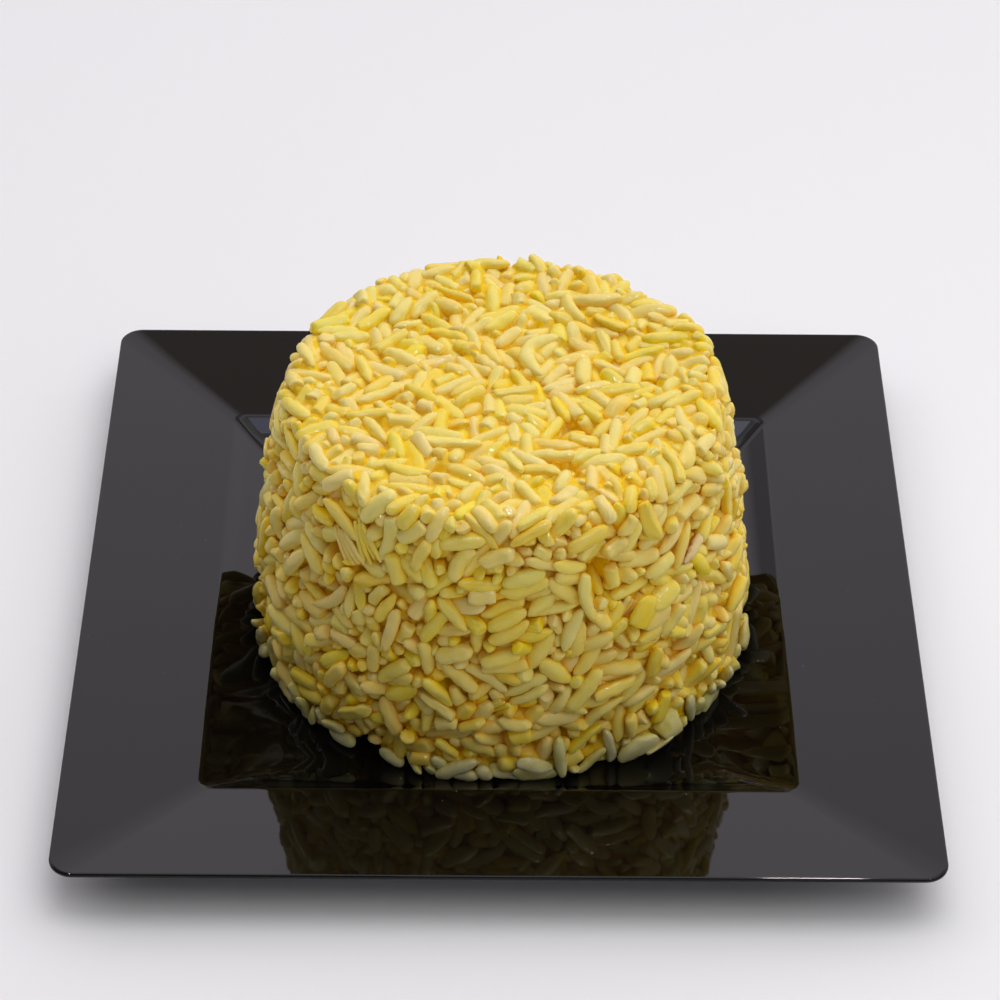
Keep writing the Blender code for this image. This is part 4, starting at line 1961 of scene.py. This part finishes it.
@dataclass(frozen=True)
class Softbox:
    """One flat diffuser overhead, facing straight down.

    Attributes:
        name: its name.
        place: its middle, in metres.
        size: its width and depth, in metres.
        brightness: how bright its face looks; white paper in its light is 1.
        colour: colour of its light.
        glints_only: True for a bare bulb that only adds glints on wet skins.
    """

    name: str
    place: Triple
    size: Span
    brightness: float
    colour: str
    glints_only: bool = False

    def build(self) -> None:
        """Hangs the softbox."""
        lamp = bpy.data.lights.new(self.name, "AREA")
        lamp.shape = "RECTANGLE"
        lamp.size, lamp.size_y = self.size
        lamp.energy = self.brightness * math.pi * self.size[0] * self.size[1]
        lamp.color = linear(self.colour)[:3]
        hung = bpy.data.objects.new(self.name, lamp)
        hung.location = self.place
        hung.visible_diffuse = not self.glints_only
        bpy.context.scene.collection.objects.link(hung)


@dataclass
class Surround:
    """The room round the object: a bright back wall, dark low sides and a lit card.

    Directions are unit vectors' parts: x to the right, y to the back, z up.
    Each fade gives the part where it starts and ends, and its values there.
    """

    heights: tuple[tuple[float, str], ...] = (
        (0.02, "#fbf4fd"),
        (0.08, "#262428"),
        (0.18, "#262428"),
        (0.24, "#fbf4fd"),
        (0.72, "#fbf4fd"),
        (0.775, "#a69b96"),
        (0.81, "#a69b96"),
        (0.86, "#e8e2f2"),
    )
    back: Four = (-0.1, 0.6, 0.22, 1.95)  # brightness, from the front to the back
    card: Four = (-0.2, 0.8, 0.0, 1.0)  # light of a low card on the right
    dim: Four = (-0.7, -0.1, -0.92, -0.55)  # what is low on the left takes this away
    low: Four = (0.36, 0.50, 1.0, 0.0)  # how far up those two reach

    def build(self) -> None:
        """Sets the surround as the scene's world."""
        world = bpy.data.worlds.new("surround")
        bpy.context.scene.world = world
        world.use_nodes = True
        tree = world.node_tree
        tree.nodes.clear()
        way = add_node(tree, "TexCoord").outputs["Generated"]
        split = add_node(tree, "SeparateXYZ", links={"Vector": way})
        x, y, z = split.outputs
        height = add_node(tree, "ValToRGB", links={"Fac": z})
        ramp_stops(height, list(self.heights))
        beside = add_node(tree, "Math", {"operation": "MULTIPLY_ADD", 1: 0.5}, {0: y, 2: x})
        back, low, card, dim = (
            add_node(
                tree,
                "MapRange",
                {
                    "interpolation_type": course,
                    "From Min": start,
                    "From Max": end,
                    "To Min": first,
                    "To Max": last,
                },
                {"Value": part},
            )
            for part, course, (start, end, first, last) in (
                (y, "SMOOTHSTEP", self.back),
                (z, "LINEAR", self.low),
                (x, "SMOOTHSTEP", self.card),
                (beside, "SMOOTHSTEP", self.dim),
            )
        )
        kept = add_node(tree, "Math", {"operation": "MULTIPLY_ADD", 2: 1.0}, {0: low, 1: dim})
        behind = add_node(tree, "Math", {"operation": "MULTIPLY"}, {0: back, 1: kept})
        strength = add_node(
            tree, "Math", {"operation": "MULTIPLY_ADD"}, {0: card, 1: low, 2: behind}
        )
        glow = add_node(tree, "Background", links={"Color": height, "Strength": strength})
        add_node(tree, "OutputWorld", links={"Surface": glow})


@dataclass
class Studio:
    """Plain pale floor, overhead softboxes and bulbs, the surround and the camera."""

    floor_side: float = 6.0
    lens: float = 124.7
    sensor: float = 36.0
    near_and_far: Span = (0.01, 50.0)
    distance: float = 0.7139
    azimuth_deg: float = -0.353
    elevation_deg: float = 39.813
    roll_deg: float = 0.624
    aim: Triple = (0.00013, 0.02483, 0.0099)
    # Light is handed on many times between pale grains before it is lost.
    diffuse_bounces: int = 8
    softboxes: tuple[Softbox, ...] = (
        Softbox("key", (0.26, 0.16, 1.0), (1.1, 0.60), 1.42, "#fffdfb"),
        Softbox("fill", (0.50, -0.50, 1.0), (1.1, 0.68), 1.14, "#f7f6f6"),
        Softbox("strip_over", (0.02, -0.20, 0.985), (0.62, 0.14), 4.0, "#dcdcff", True),
        Softbox("bulb_over", (0.16, -0.02, 0.99), (0.05, 0.05), 600.0, "#ffffff", True),
        Softbox("bulb_left", (-0.30, -0.30, 0.98), (0.05, 0.05), 500.0, "#ffffff", True),
        Softbox("bulb_right", (0.48, -0.42, 0.98), (0.05, 0.05), 600.0, "#ffffff", True),
    )

    def build_floor(self) -> None:
        """Lays the floor under the plate."""
        half = self.floor_side / 2 / METRES
        corners = [[-half, -half, 0], [half, -half, 0], [half, half, 0], [-half, half, 0]]
        paper = MattePaper().material()
        mesh_piece(
                "floor", np.array(corners), np.array([[0, 1, 2, 3]]), np.empty((0, 3), int), paper
            )

    def build_camera(self) -> None:
        """Sets the camera at the viewing angle."""
        turn, rise, roll = (
            math.radians(angle) for angle in (self.azimuth_deg, self.elevation_deg, self.roll_deg)
        )
        level = math.cos(rise)
        ahead = Vector((-math.sin(turn) * level, math.cos(turn) * level, -math.sin(rise)))
        right = ahead.cross(Vector((0, 0, 1))).normalized()
        up = right.cross(ahead)
        right, up = (
            right * math.cos(roll) + up * math.sin(roll),
            up * math.cos(roll) - right * math.sin(roll),
        )
        data = bpy.data.cameras.new("camera")
        data.lens, data.sensor_width = self.lens, self.sensor
        data.clip_start, data.clip_end = self.near_and_far
        camera = bpy.data.objects.new("camera", data)
        axes = Matrix((right, up, -ahead)).transposed().to_4x4()
        axes.translation = Vector(self.aim) - ahead * self.distance
        camera.matrix_world = axes
        bpy.context.scene.collection.objects.link(camera)
        bpy.context.scene.camera = camera

    def build(self) -> None:
        """Builds the floor, lights and camera."""
        self.build_floor()
        for box in self.softboxes:
            box.build()
        Surround().build()
        self.build_camera()
        scene = bpy.context.scene
        scene.view_settings.view_transform = "Standard"
        scene.cycles.diffuse_bounces = self.diffuse_bounces


def main() -> None:
    """Builds the scene round the frame, piece by piece."""
    logging.basicConfig(level=logging.INFO, format="%(name)s: %(message)s")
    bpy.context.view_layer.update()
    Studio().build()
    plate = Plate()
    plate.build()
    RiceMound(plate).build()


if __name__ == "__main__":
    main()
